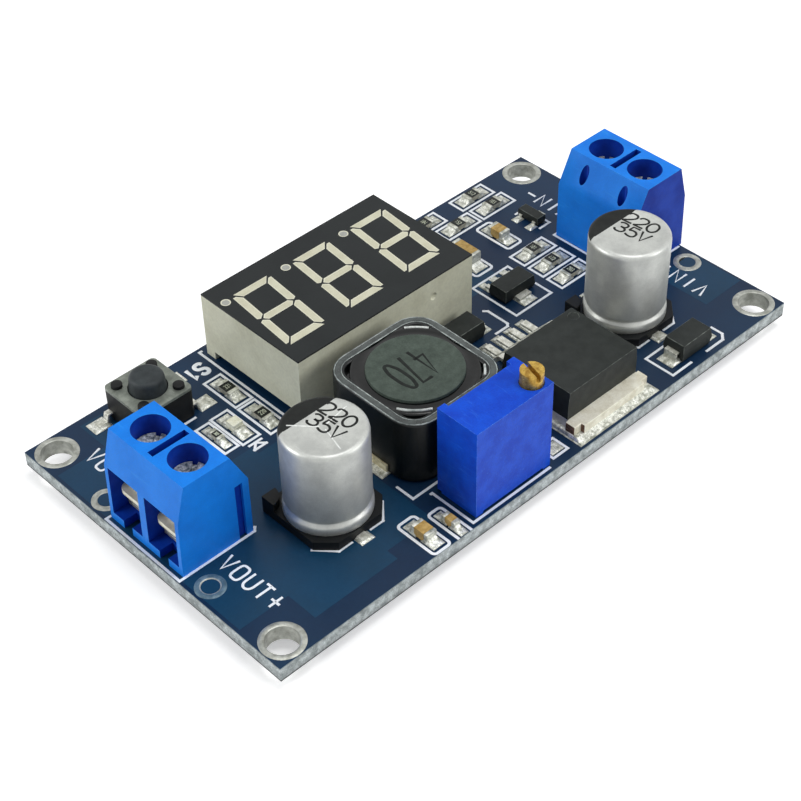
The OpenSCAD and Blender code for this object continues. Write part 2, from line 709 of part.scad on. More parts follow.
module board_print() {
    color("white") {
        for (chip = RESISTORS) chip_print(chip, 0, 0);
        for (chip = CAPACITORS) chip_print(chip, 0.5, 0.5);
        chip_print(LAMP, 0, 0);
        terminal_print(output_terminal_at);
        terminal_print(input_terminal_at);
        capacitor_print(output_capacitor_at);
        capacitor_print(input_capacitor_at);
        // inductor's corner
        on_board(inductor_at)
            print_path([[shield_w / 2 + 0.72, 4.6], [shield_w / 2 + 0.72, shield_w / 2 + 0.5],
                [1.4, shield_w / 2 + 0.5]]);
        // trimmer's outline
        on_board(trimmer_at)
            print_path([[5.5, -2.5], [trimmer_l / 2 + 0.6, -2.5],
                [trimmer_l / 2 + 0.6, trimmer_w / 2 + 0.25], [-trimmer_l / 2 + 0.3, trimmer_w / 2 + 0.25]]);
        // display's long corner
        on_board(display_at)
            print_path([[display_l / 2 + 0.3, -display_w / 2 - 0.6],
                [display_l / 2 + 0.55, -display_w / 2 - 0.6],
                [display_l / 2 + 0.55, display_w / 2 + 0.3], [-2, display_w / 2 + 0.3]]);
        // input diode's split brackets
        on_board(input_diode_at) {
            print_path([[1.4, 1.7], [4.05, 1.7], [4.05, -1.7], [1.3, -1.7]]);
            print_path([[-1, 1.7], [-3.4, 1.7], [-4.05, 1.1], [-4.05, -0.2]]);
        }
        // output diode's bracket
        on_board(output_diode_at)
            print_path([[-3.2, 1.7], [-4.8, 1.7], [-5.1, 1.4], [-5.1, -1.3], [-4.8, -1.6]]);
        // meter regulator, transistor and test pad
        on_board(meter_regulator_at) print_frame(5.3, 6.3);
        on_board(transistor_at) for (side = [-1, 1])
            print_path([[0.55, side * 1.75], [-0.9, side * 1.75], [-0.9, side * 1.1]]);
        on_board(test_pad_at) print_frame(2.15, 2.1);
        // lamp's polarity bar
        on_board([LAMP.x - 0.02, LAMP.y + 3.25]) {
            print_path([[-0.7, -0.35], [0.7, -0.35]]);
            print_path([[-0.7, 0.4], [0, -0.3], [0.7, 0.4], [-0.7, 0.4]]);
        }
        // button's side mark
        on_board(button_at) print_path([[-2.6, 3.25], [-1.4, 3.25]]);
    }
}

// ---- solder under the board ----

module underside_solder() {
    color("lightgrey") difference() {
        pin_holes() {
            translate([0, 0, -solder_h]) cylinder(r1 = solder_r * 0.8, r2 = solder_r * 1.25, h = solder_h);
            translate([0, 0, -solder_h]) cylinder(r1 = solder_r * 0.45, r2 = solder_r * 0.9, h = solder_h);
        }
        pin_holes() {
            block([contact_t, contact_pin_w, 4], -2);
            translate([0, 0, -2]) cylinder(r = pin_r, h = 4);
        }
    }
}

// ---- screw terminals ----
// In a terminal's own frame X points the way the wires leave, Y runs along the screw row
// and z is 0 at the board's upper face.

module terminal_housing() {
    difference() {
        union() {
            profile_along_y(terminal_l, [
                [face_foot_u, 0], [face_break_u, face_break_z], [top_front_u, terminal_h],
                [-top_rear_u, terminal_h], [-rear_u, rear_break_z], [-rear_u, 0]
            ]);
            // joining tongue on one end
            translate([-tongue_u - tongue_w / 2 + run_gap, -terminal_l / 2 - tongue_d + run_gap, 0])
                cube([tongue_w - 2 * run_gap, tongue_d + eps, tongue_h - run_gap]);
        }
        // joining groove on the other end
        translate([-tongue_u - tongue_w / 2, terminal_l / 2 - tongue_d, -eps])
            cube([tongue_w, tongue_d + 1, tongue_h + eps]);
        // cross slot between the wells
        translate([-top_slot_l / 2 + 0.05, -top_slot_w / 2, terminal_h - top_slot_d])
            cube([top_slot_l, top_slot_w, top_slot_d + 1]);
        for (pole = [1, 2]) translate([0, pole_v(pole), 0]) terminal_pocket();
    }
}

// Everything that is hollow around one screw
module terminal_pocket() {
    // well for the head and hole for the shank
    translate([0, 0, well_seat_z]) cylinder(r = well_r, h = terminal_h);
    translate([0, 0, pocket_floor_z]) cylinder(r = shank_r + run_gap, h = terminal_h);
    // room for the cage, and the mouth that the wire enters by
    translate([-pocket_rear_u, -pocket_w / 2, pocket_floor_z])
        cube([pocket_rear_u + clamp_front + run_gap, pocket_w, pocket_roof_z - pocket_floor_z]);
    translate([0, -pocket_w / 2, pocket_floor_z])
        cube([face_foot_u + 1, pocket_w, face_break_z - pocket_floor_z]);
    // slit in the floor
    translate([floor_slit_u, -floor_slit_w / 2, -1]) cube([face_foot_u, floor_slit_w, 2]);
    // seat of the fixed contact
    translate([-pocket_rear_u - contact_t, -contact_w / 2, -eps])
        cube([contact_t + eps, contact_w, contact_top_z + eps]);
    // small blind hole that opens on the rear slope
    translate([-core_hole_u, 0, core_hole_z]) cylinder(r = core_hole_r, h = terminal_h);
}

// Fixed contact: a plate that stands on its pin and reaches forward over the wire
module terminal_contact() {
    lip_start = clamp_front + 0.1;
    // tongue through the cage
    translate([-pocket_rear_u - contact_t, -contact_w / 2, contact_z])
        cube([pocket_rear_u + contact_t + lip_start + eps, contact_w, contact_t]);
    // wider lip with rounded front corners
    intersection() {
        rounded_plate(2 * contact_reach, contact_lip_w, contact_t, contact_lip_r, contact_z);
        translate([lip_start, -contact_lip_w / 2 - 1, 0])
            cube([contact_reach, contact_lip_w + 2, contact_top_z + 1]);
    }
    // upright and pin
    translate([-pocket_rear_u - contact_t, -contact_w / 2, 0]) cube([contact_t, contact_w, contact_top_z]);
    translate([-pocket_rear_u - contact_t, -contact_pin_w / 2, -top - pin_tail])
        cube([contact_t, contact_pin_w, top + pin_tail + eps]);
}

module terminal_contacts() {
    for (pole = [1, 2]) translate([0, pole_v(pole), 0]) terminal_contact();
}

// Clamp cage: a square ring that the screw lifts against the contact
module terminal_clamp(pole) {
    length = clamp_front + clamp_rear;
    translate([0, pole_v(pole), clamp_floor_z]) difference() {
        translate([length / 2 - clamp_rear, 0, 0]) difference() {
            block([length, clamp_w, clamp_h]);
            block([length + 1, clamp_w - 2 * clamp_side_t, clamp_inner_h], clamp_bottom_t);
        }
        translate([0, 0, clamp_bottom_t + 1]) cylinder(r = shank_r + run_gap, h = clamp_h);
    }
}

module terminal_screw(pole) {
    translate([0, pole_v(pole), 0]) difference() {
        union() {
            translate([0, 0, head_z]) cylinder(r = head_r, h = head_h);
            translate([0, 0, contact_top_z + run_gap]) cylinder(r = shank_r, h = head_z - contact_top_z);
        }
        rotate([0, 0, drive_slot_turn])
            block([2 * head_r + 1, drive_slot_w, drive_slot_d + 1], head_z + head_h - drive_slot_d);
    }
}

module output_terminal_housing() { color("dodgerblue") on_terminal(output_terminal_at, 0) terminal_housing(); }
module input_terminal_housing() { color("dodgerblue") on_terminal(input_terminal_at, 180) terminal_housing(); }
module output_terminal_contacts() { color("silver") on_terminal(output_terminal_at, 0) terminal_contacts(); }
module input_terminal_contacts() { color("silver") on_terminal(input_terminal_at, 180) terminal_contacts(); }
module output_clamp_1() { color("lightgrey") on_terminal(output_terminal_at, 0) terminal_clamp(1); }
module output_clamp_2() { color("lightgrey") on_terminal(output_terminal_at, 0) terminal_clamp(2); }
module input_clamp_1() { color("lightgrey") on_terminal(input_terminal_at, 180) terminal_clamp(1); }
module input_clamp_2() { color("lightgrey") on_terminal(input_terminal_at, 180) terminal_clamp(2); }
module output_screw_1() { color("gainsboro") on_terminal(output_terminal_at, 0) terminal_screw(1); }
module output_screw_2() { color("gainsboro") on_terminal(output_terminal_at, 0) terminal_screw(2); }
module input_screw_1() { color("gainsboro") on_terminal(input_terminal_at, 180) terminal_screw(1); }
module input_screw_2() { color("gainsboro") on_terminal(input_terminal_at, 180) terminal_screw(2); }

// ---- capacitors ----

can_bung_h = 1.6;
can_filling_r = can_r - can_wall - can_groove_d - 0.25;
can_bung_z = can_foot_z + 0.15;
winding_z = can_bung_z + can_bung_h + 0.2;

// Solid outline of the can, drawn as radius against height and grown or shrunk by a wall
module can_outline(wall) {
    r = can_r - wall;
    difference() {
        union() {
            translate([0, can_foot_z + (wall > 0 ? -1 : 0)])
                square([r, can_top_z - can_edge_r - can_foot_z + (wall > 0 ? 1 : 0)]);
            translate([0, can_top_z - can_edge_r - eps])
                square([can_r - can_edge_r, can_edge_r - wall + eps]);
            // flared rim under the groove
            translate([0, can_foot_z]) square([r + can_flare, can_groove_z - can_groove_d - can_foot_z]);
            intersection() {
                translate([can_r - can_edge_r, can_top_z - can_edge_r]) circle(can_edge_r - wall);
                translate([can_r - can_edge_r - eps, can_top_z - can_edge_r]) square(can_edge_r);
            }
        }
        // rolled groove
        translate([can_r + can_groove_d * 0.6, can_groove_z]) circle(can_groove_d * 1.6 + wall);
    }
}

module capacitor_can() {
    rotate_extrude($fn = 96) difference() {
        can_outline(0);
        can_outline(can_wall);
    }
}

module capacitor_base() {
    half = capacitor_base_w / 2;
    difference() {
        union() {
            translate([0, 0, pad_t]) linear_extrude(can_foot_z - pad_t) base_outline();
            // round-backed ears on the two square corners hold the can
            translate([0, 0, pad_t]) linear_extrude(capacitor_ear_z - pad_t) difference() {
                intersection() {
                    base_outline();
                    for (side = [-1, 1]) translate([side * half, -half]) circle(capacitor_ear_r);
                }
                circle(can_r + can_flare + 0.02);
            }
        }
        // channels for the leads under the base
        block([capacitor_lead_w + 0.1, capacitor_base_w + 1, 2 * (pad_t + 0.25)], -pad_t - 0.25);
        for (side = [-1, 1]) translate([0, side * 1.55, -1]) cylinder(r = 0.4, h = 3);
    }
}

module base_outline() {
    half = capacitor_base_w / 2;
    polygon([
        [-half, -half], [half, -half], [half, half - capacitor_base_chamfer],
        [half - capacitor_base_chamfer, half], [capacitor_base_chamfer - half, half],
        [-half, half - capacitor_base_chamfer]
    ]);
}

// Lead: down through the base, then flat outwards under it
module capacitor_lead(side) {
    reach = capacitor_base_w / 2 + capacitor_lead_out;
    translate([0, side * (1.3 + reach) / 2, 0]) block([capacitor_lead_w, reach - 1.3, 0.2], pad_t);
    translate([0, side * 1.55, pad_t]) cylinder(r = 0.25, h = can_bung_z + can_bung_h - pad_t);
}

module output_capacitor_can() { color("silver") on_board(output_capacitor_at) capacitor_can(); }
module input_capacitor_can() { color("silver") on_board(input_capacitor_at) capacitor_can(); }
module output_capacitor_base() { color("#1c1c1e") on_board(output_capacitor_at) capacitor_base(); }
module input_capacitor_base() { color("#1c1c1e") on_board(input_capacitor_at) capacitor_base(); }

module capacitor_leads() {
    color("gainsboro") for (place = [output_capacitor_at, input_capacitor_at], side = [-1, 1])
        on_board(place) capacitor_lead(side);
}

// Rubber bung that seals a can, with its leads passing through
module capacitor_bungs() {
    color("dimgrey") for (place = [output_capacitor_at, input_capacitor_at]) on_board(place)
        difference() {
            translate([0, 0, can_bung_z]) cylinder(r = can_filling_r, h = can_bung_h);
            for (side = [-1, 1]) translate([0, side * 1.55, 0]) cylinder(r = 0.25, h = 8);
        }
}

module capacitor_windings() {
    color("tan") for (place = [output_capacitor_at, input_capacitor_at]) on_board(place)
        translate([0, 0, winding_z])
            cylinder(r = can_filling_r, h = can_top_z - can_wall - winding_z - 0.2);
}

// Black polarity segment on each can's top
module capacitor_marks() {
    color("#202020") for (place = [output_capacitor_at, input_capacitor_at]) on_board(place)
        translate([0, 0, can_top_z]) linear_extrude(print_t) intersection() {
            circle(can_r - can_edge_r, $fn = 96);
            translate([-can_r, -can_r - mark_offset]) square([2 * can_r, can_r]);
        }
}

// ---- inductor ----

shield_foot_z = pad_t + inductor_terminal_t;

module inductor_core() {
    color("#4e5652") on_board(inductor_at) {
        translate([0, 0, shield_foot_z]) cylinder(r = core_top_r + 0.3, h = core_flange_t);
        translate([0, 0, shield_foot_z]) cylinder(r = core_post_r, h = core_top_z - shield_foot_z);
        translate([0, 0, core_top_z - core_flange_t]) cylinder(r = core_top_r, h = core_flange_t);
    }
}

module inductor_shield() {
    color("#2a2e2e") on_board(inductor_at)
        translate([0, 0, shield_foot_z]) linear_extrude(shield_top_z - shield_foot_z) difference() {
            rounded(shield_w, shield_w, shield_corner_r);
            circle(shield_hole_r, $fn = 96);
            rounded(shield_pocket_w, shield_pocket_w, 1.4);
        }
}

module inductor_winding() {
    foot = shield_foot_z + core_flange_t;
    color("#8a4b22") on_board(inductor_at) translate([0, 0, foot]) difference() {
        cylinder(r = winding_r, h = core_top_z - core_flange_t - foot);
        translate([0, 0, -1]) cylinder(r = core_post_r, h = core_top_z);
    }
}

// Metal clips that fold up beside the shield
module inductor_terminals() {
    color("#c8b88a") on_board(inductor_at) for (side = [0, 180]) rotate([0, 0, side]) {
        translate([shield_w / 2 - inductor_foot_l, -inductor_terminal_w / 2, pad_t])
            cube([inductor_foot_l + inductor_terminal_t, inductor_terminal_w, inductor_terminal_t]);
        translate([shield_w / 2, -inductor_terminal_w / 2, pad_t])
            cube([inductor_terminal_t, inductor_terminal_w, inductor_terminal_h]);
    }
}

// ---- regulator ----

tab_back = 1.2;             // moulding between the lead side and the heat tab
lead_root = 1;              // length of a lead inside the body
lead_exit_z = 2.3;          // height at which the leads leave the body
regulator_draft_z = 3;      // height above which the body's sides lean in

module regulator_package() {
    half_w = regulator_w / 2;
    half_l = regulator_l / 2;
    color("#33363a") on_board(regulator_at) difference() {
        intersection() {
            profile_along_y(regulator_l + 1, [
                [-half_w, pad_t], [half_w, pad_t], [half_w, regulator_draft_z],
                [half_w - regulator_draft, regulator_top_z], [regulator_draft - half_w, regulator_top_z],
                [-half_w, regulator_draft_z]
            ]);
            rotate([0, 0, 90]) profile_along_y(regulator_w + 1, [
                [-half_l, pad_t], [half_l, pad_t], [half_l, regulator_top_z],
                [regulator_draft - half_l, regulator_top_z], [-half_l, regulator_draft_z]
            ]);
        }
        // room for the heat tab, moulded in
        translate([-tab_w, tab_back - half_l, -1]) cube([2 * tab_w, 2 * regulator_l, pad_t + tab_t + 1]);
        // moulding dimple near one corner
        translate([0.95 - half_w, 1.15 - half_l, regulator_top_z - 0.1]) cylinder(r = 0.55, h = 1);
        // sockets of the leads
        for (i = [0:regulator_leads_n - 1])
            translate([regulator_lead_x(i) - regulator_at.x, -half_l, lead_exit_z])
                cube([regulator_lead_w, 2 * lead_root, regulator_lead_t], center = true);
    }
}

// Copper plate under the body, wider and with notched corners where it stands out
module regulator_heat_tab() {
    half_l = regulator_l / 2;
    front = half_l + tab_out;
    color("#e6e2d2") on_board(regulator_at) difference() {
        union() {
            translate([-regulator_w / 2, tab_back - half_l, pad_t])
                cube([regulator_w, regulator_l - tab_back + eps, tab_t]);
            translate([-tab_w / 2, half_l, pad_t]) cube([tab_w, tab_out, tab_t]);
        }
        for (side = [-1, 1]) translate([side * tab_w / 2, front, 0])
            block([2 * tab_notch_w, 2 * tab_notch, 4], -1);
    }
}

module regulator_leads() {
    start = lead_root - regulator_l / 2;
    end = -regulator_l / 2 - regulator_lead_out;
    knee = -regulator_l / 2 - 1.3;
    foot = end + regulator_foot_l;
    t = regulator_lead_t;
    color("gainsboro") for (i = [0:regulator_leads_n - 1])
        translate([regulator_lead_x(i), regulator_at.y, top])
            rotate([0, 0, 90]) profile_along_y(regulator_lead_w, [
                [start, lead_exit_z - t / 2], [knee + 0.1, lead_exit_z - t / 2], [foot + 0.15, pad_t],
                [end, pad_t], [end, pad_t + t], [foot - 0.15, pad_t + t],
                [knee - 0.15, lead_exit_z + t / 2], [start, lead_exit_z + t / 2]
            ]);
}

// ---- diodes and small packages ----

// Body with sides that lean in above and below the leads' height
module moulded_body(size, seam_z, draft) {
    half_x = size.x / 2;
    half_y = size.y / 2;
    intersection() {
        profile_along_y(size.y + 1, [
            [draft - half_x, pad_t + 0.05], [half_x - draft, pad_t + 0.05], [half_x, seam_z],
            [half_x - draft, size.z], [draft - half_x, size.z], [-half_x, seam_z]
        ]);
        rotate([0, 0, 90]) profile_along_y(size.x + 1, [
            [draft - half_y, pad_t + 0.05], [half_y - draft, pad_t + 0.05], [half_y, seam_z],
            [half_y - draft, size.z], [draft - half_y, size.z], [-half_y, seam_z]
        ]);
    }
}

diode_seam_z = 1;

// Diode lead: out of the side, down and back under the body
module diode_lead_shape(side) {
    half = diode_size.x / 2;
    out = half + diode_lead_out;
    t = diode_lead_t;
    rotate([0, 0, side]) profile_along_y(diode_lead_w, [
        [half - 0.8, diode_seam_z - t / 2], [out - t, diode_seam_z - t / 2], [out - t, pad_t + t],
        [half - 0.7, pad_t + t], [half - 0.7, pad_t], [out, pad_t], [out, diode_seam_z + t / 2],
        [half - 0.8, diode_seam_z + t / 2]
    ]);
}

module diode_package() {
    difference() {
        moulded_body(diode_size, diode_seam_z, 0.15);
        for (side = [0, 180]) diode_lead_shape(side);
        // recess over the folded foot of each lead
        for (side = [-1, 1]) translate([side * diode_size.x / 2, 0, 0])
            block([1.6, diode_lead_w + 0.1, 2 * (pad_t + diode_lead_t + 0.02)], -pad_t - diode_lead_t);
    }
}

module output_diode_package() { color("#2b2d30") on_board(output_diode_at) diode_package(); }
module input_diode_package() { color("#2b2d30") on_board(input_diode_at) diode_package(); }

module meter_regulator_legs() {
    size = meter_regulator_size;
    for (i = [-1:1]) translate([i * meter_regulator_pitch, -size.y / 2 - 0.25, 0])
        block([meter_leg.x, size.y / 2 + 0.1, meter_leg.y], pad_t);
    translate([0, size.y / 2 + 0.05, 0]) block([3.4 * meter_leg.x, size.y / 2 + 0.1, meter_leg.y], pad_t);
}

module meter_regulator_package() {
    color("#2b2d30") on_board(meter_regulator_at) difference() {
        moulded_body(meter_regulator_size, 0.5, 0.12);
        meter_regulator_legs();
    }
}

// Legs of the transistor: a pair on one side, one on the other
function transistor_legs() = [
    [transistor_size.x / 2 + 0.35, -transistor_pitch / 2],
    [transistor_size.x / 2 + 0.35, transistor_pitch / 2],
    [-transistor_size.x / 2 - 0.35, 0]
];

// Leg: out of the body's side, down and outwards on its pad
module transistor_leg_shapes() {
    half = transistor_size.x / 2;
    reach = transistor_leg.x;
    t = transistor_leg.z;
    shelf = transistor_size.z / 2;
    for (leg = transistor_legs()) translate([0, leg.y, 0]) mirror([leg.x < 0 ? 1 : 0, 0, 0])
        profile_along_y(transistor_leg.y, [
            [half - t, shelf - t], [half, shelf - t], [half, pad_t], [half + reach, pad_t],
            [half + reach, pad_t + t], [half + t, pad_t + t], [half + t, shelf], [half - t, shelf]
        ]);
}

module transistor_package() {
    color("#2b2d30") on_board(transistor_at) difference() {
        translate([0, 0, 0.02]) moulded_body(transistor_size, 0.55, 0.08);
        transistor_leg_shapes();
    }
}

module small_package_leads() {
    color("gainsboro") {
        for (place = [output_diode_at, input_diode_at], side = [0, 180])
            on_board(place) diode_lead_shape(side);
        on_board(meter_regulator_at) meter_regulator_legs();
        on_board(transistor_at) transistor_leg_shapes();
        // straight legs of the controller under the display
        on_board(display_at) for (side = [-1, 1], i = [-4:4])
            translate([i * controller_pitch, side * (controller_size.y + controller_leg.y) / 2, 0])
                block(controller_leg, pad_t);
    }
}

// ---- display ----

function lean(p) = [p.x + p.y * tan(digit_lean), p.y];

// Outlines of the seven bars, as points before they lean
half_w = digit_w / 2 - bar_w / 2;
half_h = digit_h / 2 - bar_w / 2;
bar_cut = bar_gap / 2;
function outer_flat(s) = [
    [-half_w - bar_w * 0.3 + bar_cut, s * (half_h + bar_w / 2)],
    [half_w + bar_w * 0.3 - bar_cut, s * (half_h + bar_w / 2)],
    [half_w - bar_w / 2 - bar_cut, s * (half_h - bar_w / 2)],
    [-half_w + bar_w / 2 + bar_cut, s * (half_h - bar_w / 2)]
];
middle_flat = [
    [-half_w + bar_cut, 0], [-half_w + bar_w / 2 + bar_cut / 2, bar_w / 2],
    [half_w - bar_w / 2 - bar_cut / 2, bar_w / 2], [half_w - bar_cut, 0],
    [half_w - bar_w / 2 - bar_cut / 2, -bar_w / 2], [-half_w + bar_w / 2 + bar_cut / 2, -bar_w / 2]
];
function upright(side, s) = [
    [side * (half_w + bar_w / 2), s * (half_h + bar_w * 0.2 - bar_cut)],
    [side * (half_w + bar_w / 2), s * (bar_w * 0.3 + bar_cut / 2)],
    [side * (half_w + bar_w * 0.1), s * bar_cut],
    [side * (half_w - bar_w / 2), s * (bar_w / 2 + bar_cut)],
    [side * (half_w - bar_w / 2), s * (half_h - bar_w / 2 - bar_cut)],
    [side * (half_w + bar_w * 0.1), s * (half_h + bar_w * 0.2 - bar_cut)]
];

module digit_bars() {
    for (s = [-1, 1]) polygon([for (p = outer_flat(s)) lean(p)]);
    polygon([for (p = middle_flat) lean(p)]);
    for (side = [-1, 1], s = [-1, 1]) polygon([for (p = upright(side, s)) lean(p)]);
    translate(point_at) circle(point_r);
}

// All windows of the display, from z to the given height
module display_windows(z, h) {
    for (i = [0:digits_n - 1])
        translate([(i - (digits_n - 1) / 2) * digit_pitch, 0, z]) linear_extrude(h) digit_bars();
}

display_shell_top = display_top_z - display_face_t;
display_lamp_top = display_board_z + display_board_t;

module display_shell() {
    color("#cfcdb8") on_board(display_at) difference() {
        block([display_l, display_w, display_shell_top]);
        // light wells, one behind each window
        display_windows(display_lamp_top, display_top_z);
        // room for the display's own board
        block([display_l - 2 * display_wall, display_w - 2 * display_wall, display_lamp_top + 1], -1);
        // openings between the corner feet
        block([display_l + 1, display_w - 2 * display_foot_l, 2 * display_foot_h], -display_foot_h);
        block([display_l - 2 * display_foot_l, display_w + 1, 2 * display_foot_h - 0.6], -display_foot_h);
        // moulding dimple on the side that faces the inductor
        translate([-6, display_w / 2 + 0.35, 5.2]) sphere(r = 0.55);
    }
}

module display_face() {
    color("#22262a") on_board(display_at) difference() {
        block([display_l, display_w, display_face_t], display_shell_top);
        display_windows(display_shell_top - 1, 3);
    }
}

module display_bars() {
    color("#d8d4c0") on_board(display_at)
        display_windows(display_lamp_top, display_top_z - display_lamp_top);
}

module display_board() {
    color("seagreen") difference() {
        on_board(display_at) block([display_l - 2 * display_wall, display_w - 2 * display_wall,
            display_board_t], display_board_z);
        at_each(display_pin_places()) cylinder(r = pin_r, h = 12);
    }
}

module display_pins() {
    color("silver") at_each(display_pin_places())
        translate([0, 0, -pin_tail]) cylinder(r = pin_r, h = pin_tail + top + display_lamp_top);
}

// ---- button ----

function button_leg_places() =
    [for (x = [-1, 1], y = [-1, 1]) [x * button_w / 2, y * button_leg_gap / 2]];
stud_places = [for (x = [-1, 1], y = [-1, 1]) [x, y] * (button_w / 2 - stud_inset)];
button_leg_root = 0.8;         // length of a leg inside the base

module button_base() {
    color("#1f2022") on_board(button_at) difference() {
        union() {
            rounded_plate(button_w, button_w, button_base_z - 0.1, button_corner_r, 0.1);
            translate([0, 0, 1]) at_each(stud_places) cylinder(r = stud_r, h = button_cover_z + stud_h - 1);
        }
        // room for the dome and the plunger's flange
        translate([0, 0, button_floor_z]) cylinder(r = flange_r + 0.12, h = 5);
        // sockets of the legs
        for (leg = button_leg_places()) translate([leg.x, leg.y, 0])
            block([2 * button_leg_root, button_leg_w, button_leg_t], button_leg_z);
    }
}

module button_cover() {
    color("#9a9c98") on_board(button_at) difference() {
        rounded_plate(button_w, button_w, button_cover_t, button_corner_r, button_base_z);
        translate([0, 0, 1]) cylinder(r = plunger_r + run_gap, h = 5);
        translate([0, 0, 1]) at_each(stud_places) cylinder(r = stud_r, h = 5);
    }
}

module button_plunger() {
    color("#2a2b2d") on_board(button_at) {
        rotate_extrude() polygon([
            [0, plunger_foot_z], [1, plunger_foot_z], [1, plunger_foot_z + 0.3],
            [flange_r, plunger_foot_z + 0.3], [flange_r, button_base_z - 0.12],
            [plunger_r, button_base_z - 0.12], [plunger_r - plunger_taper, plunger_top_z - 0.15],
            [plunger_r - plunger_taper - 0.15, plunger_top_z], [0, plunger_top_z]
        ]);
    }
}

// Thin sprung dome that lies on the base's floor
module button_dome() {
    rise = dome_top_z - button_floor_z;
    ball_r = (dome_r * dome_r + rise * rise) / (2 * rise);
    color("#d6c690") on_board(button_at) translate([0, 0, button_floor_z])
        rotate_extrude() intersection() {
            difference() {
                translate([0, rise - ball_r]) circle(ball_r, $fn = 96);
                translate([0, rise - ball_r]) circle(ball_r - 0.1, $fn = 96);
            }
            square([dome_r + 1, rise + 1]);
        }
}

// Flat legs that leave the base, step down and stand on their pads
module button_legs() {
    start = button_w / 2;
    end = start + button_leg_out;
    step = button_leg_z * 0.7;
    t = button_leg_t;
    z = button_leg_z;
    color("gainsboro") on_board(button_at) for (leg = button_leg_places())
        translate([0, leg.y, 0]) mirror([leg.x < 0 ? 1 : 0, 0, 0])
            profile_along_y(button_leg_w, [
                [start - button_leg_root, z], [start + step - t, z], [start + step, pad_t], [end, pad_t],
                [end, pad_t + t], [start + step + t, pad_t + t], [start + step, z + t],
                [start - button_leg_root, z + t]
            ]);
}

// ---- trimmer ----

trimmer_inner_x = trimmer_l - 2 * trimmer_wall;
trimmer_inner_y = trimmer_body_w - 2 * trimmer_wall;
trimmer_mid_y = trimmer_rib_d / 2;
trimmer_roof_z = trimmer_h - 0.7;
trimmer_floor_z = trimmer_standoff + trimmer_base_t;

module trimmer_housing() {
    color("royalblue") on_board(trimmer_at) difference() {
        union() {
            translate([0, trimmer_mid_y, 0])
                block([trimmer_l, trimmer_body_w, trimmer_h - trimmer_standoff], trimmer_standoff);
            // rear ribs and small feet at both ends
            for (side = [-1, 1]) {
                translate([side * (trimmer_l - trimmer_rib_w) / 2, 0, 0])
                    block([trimmer_rib_w, trimmer_w, trimmer_h - trimmer_standoff], trimmer_standoff);
                translate([side * (trimmer_l - trimmer_rib_w) / 2, trimmer_mid_y, 0])
                    block([trimmer_rib_w, trimmer_body_w, trimmer_standoff + eps]);
            }
        }
        translate([0, trimmer_mid_y, 0])
            block([trimmer_inner_x, trimmer_inner_y, trimmer_roof_z + 1], -1);
        translate([adjuster_x, adjuster_y, trimmer_roof_z - 0.3]) cylinder(r = adjuster_r + run_gap, h = 2);
    }
}

// Sealed base plate that carries the pins
module trimmer_base() {
    color("#2b4f9e") difference() {
        on_board(trimmer_at) translate([0, trimmer_mid_y, 0])
            block([trimmer_inner_x, trimmer_inner_y, trimmer_base_t], trimmer_standoff);
        at_each(trimmer_pin_places()) cylinder(r = pin_r, h = 10);
    }
}

module trimmer_screw() {
    color("goldenrod") on_board(trimmer_at) translate([adjuster_x, adjuster_y, 0]) difference() {
        union() {
            translate([0, 0, trimmer_roof_z])
                cylinder(r = adjuster_r, h = trimmer_h + adjuster_out - trimmer_roof_z);
            translate([0, 0, trimmer_floor_z + 0.3])
                cylinder(r = lead_screw_r, h = trimmer_roof_z - trimmer_floor_z);
        }
        rotate([0, 0, adjuster_turn])
            block([4 * adjuster_r, adjuster_slot_w, 4], trimmer_h + adjuster_out - adjuster_slot_d);
    }
}

// Nut that climbs the lead screw and carries the wiper arm
module trimmer_carriage() {
    low_x = -trimmer_inner_x / 2 + 0.15;
    low_y = trimmer_rear_y + trimmer_wall + element_t + 0.15;
    high_y = trimmer_w / 2 - trimmer_wall - 0.15;
    color("ivory") on_board(trimmer_at) difference() {
        union() {
            translate([low_x, low_y, carriage_z - carriage_h / 2]) cube([2.8, high_y - low_y, carriage_h]);
            translate([low_x, low_y, carriage_z - 0.3]) cube([trimmer_inner_x / 2 + 1, 0.5, 0.6]);
        }
        translate([adjuster_x, adjuster_y, 0]) cylinder(r = lead_screw_r + run_gap, h = trimmer_h);
    }
}

// Ceramic plate with the resistive track, against the rear wall
module trimmer_element() {
    color("whitesmoke") on_board(trimmer_at)
        translate([0, trimmer_rear_y + trimmer_wall + element_t / 2, 0])
            block([trimmer_inner_x - 0.3, element_t, trimmer_roof_z - trimmer_floor_z - 0.2], trimmer_floor_z);
}

module trimmer_pins() {
    color("silver") at_each(trimmer_pin_places())
        translate([0, 0, -pin_tail]) cylinder(r = pin_r, h = pin_tail + top + trimmer_floor_z);
}

// ---- chip parts ----

// Middle of a chip, between its metal ends
module chip_body(chip, h) {
    body = chip[3];
    translate([chip.x, chip.y, on_pad]) rotate([0, 0, chip[2]]) block([body.x - 2 * chip_end, body.y, h]);
}

module chip_resistors() {
    color("#3a3c3c") for (chip = RESISTORS) chip_body(chip, resistor_h);
}

module chip_capacitors() {
    color("#b8935a") for (chip = CAPACITORS) chip_body(chip, chip[3].z);
}

module indicator_lamp() {
    color("#e8e6cc") {
        chip_body(LAMP, lamp_h * 0.5);
        translate([LAMP.x, LAMP.y, on_pad + lamp_h * 0.5]) rotate([0, 0, LAMP[2]])
            block([LAMP[3].x - 2 * chip_end - 0.1, LAMP[3].y - 0.1, lamp_h * 0.5]);
    }
}

module chip_end_pair(chip, h) {
    body = chip[3];
    translate([chip.x, chip.y, on_pad]) rotate([0, 0, chip[2]]) for (side = [-1, 1])
        translate([side * (body.x - chip_end) / 2, 0, 0]) block([chip_end, body.y, h]);
}

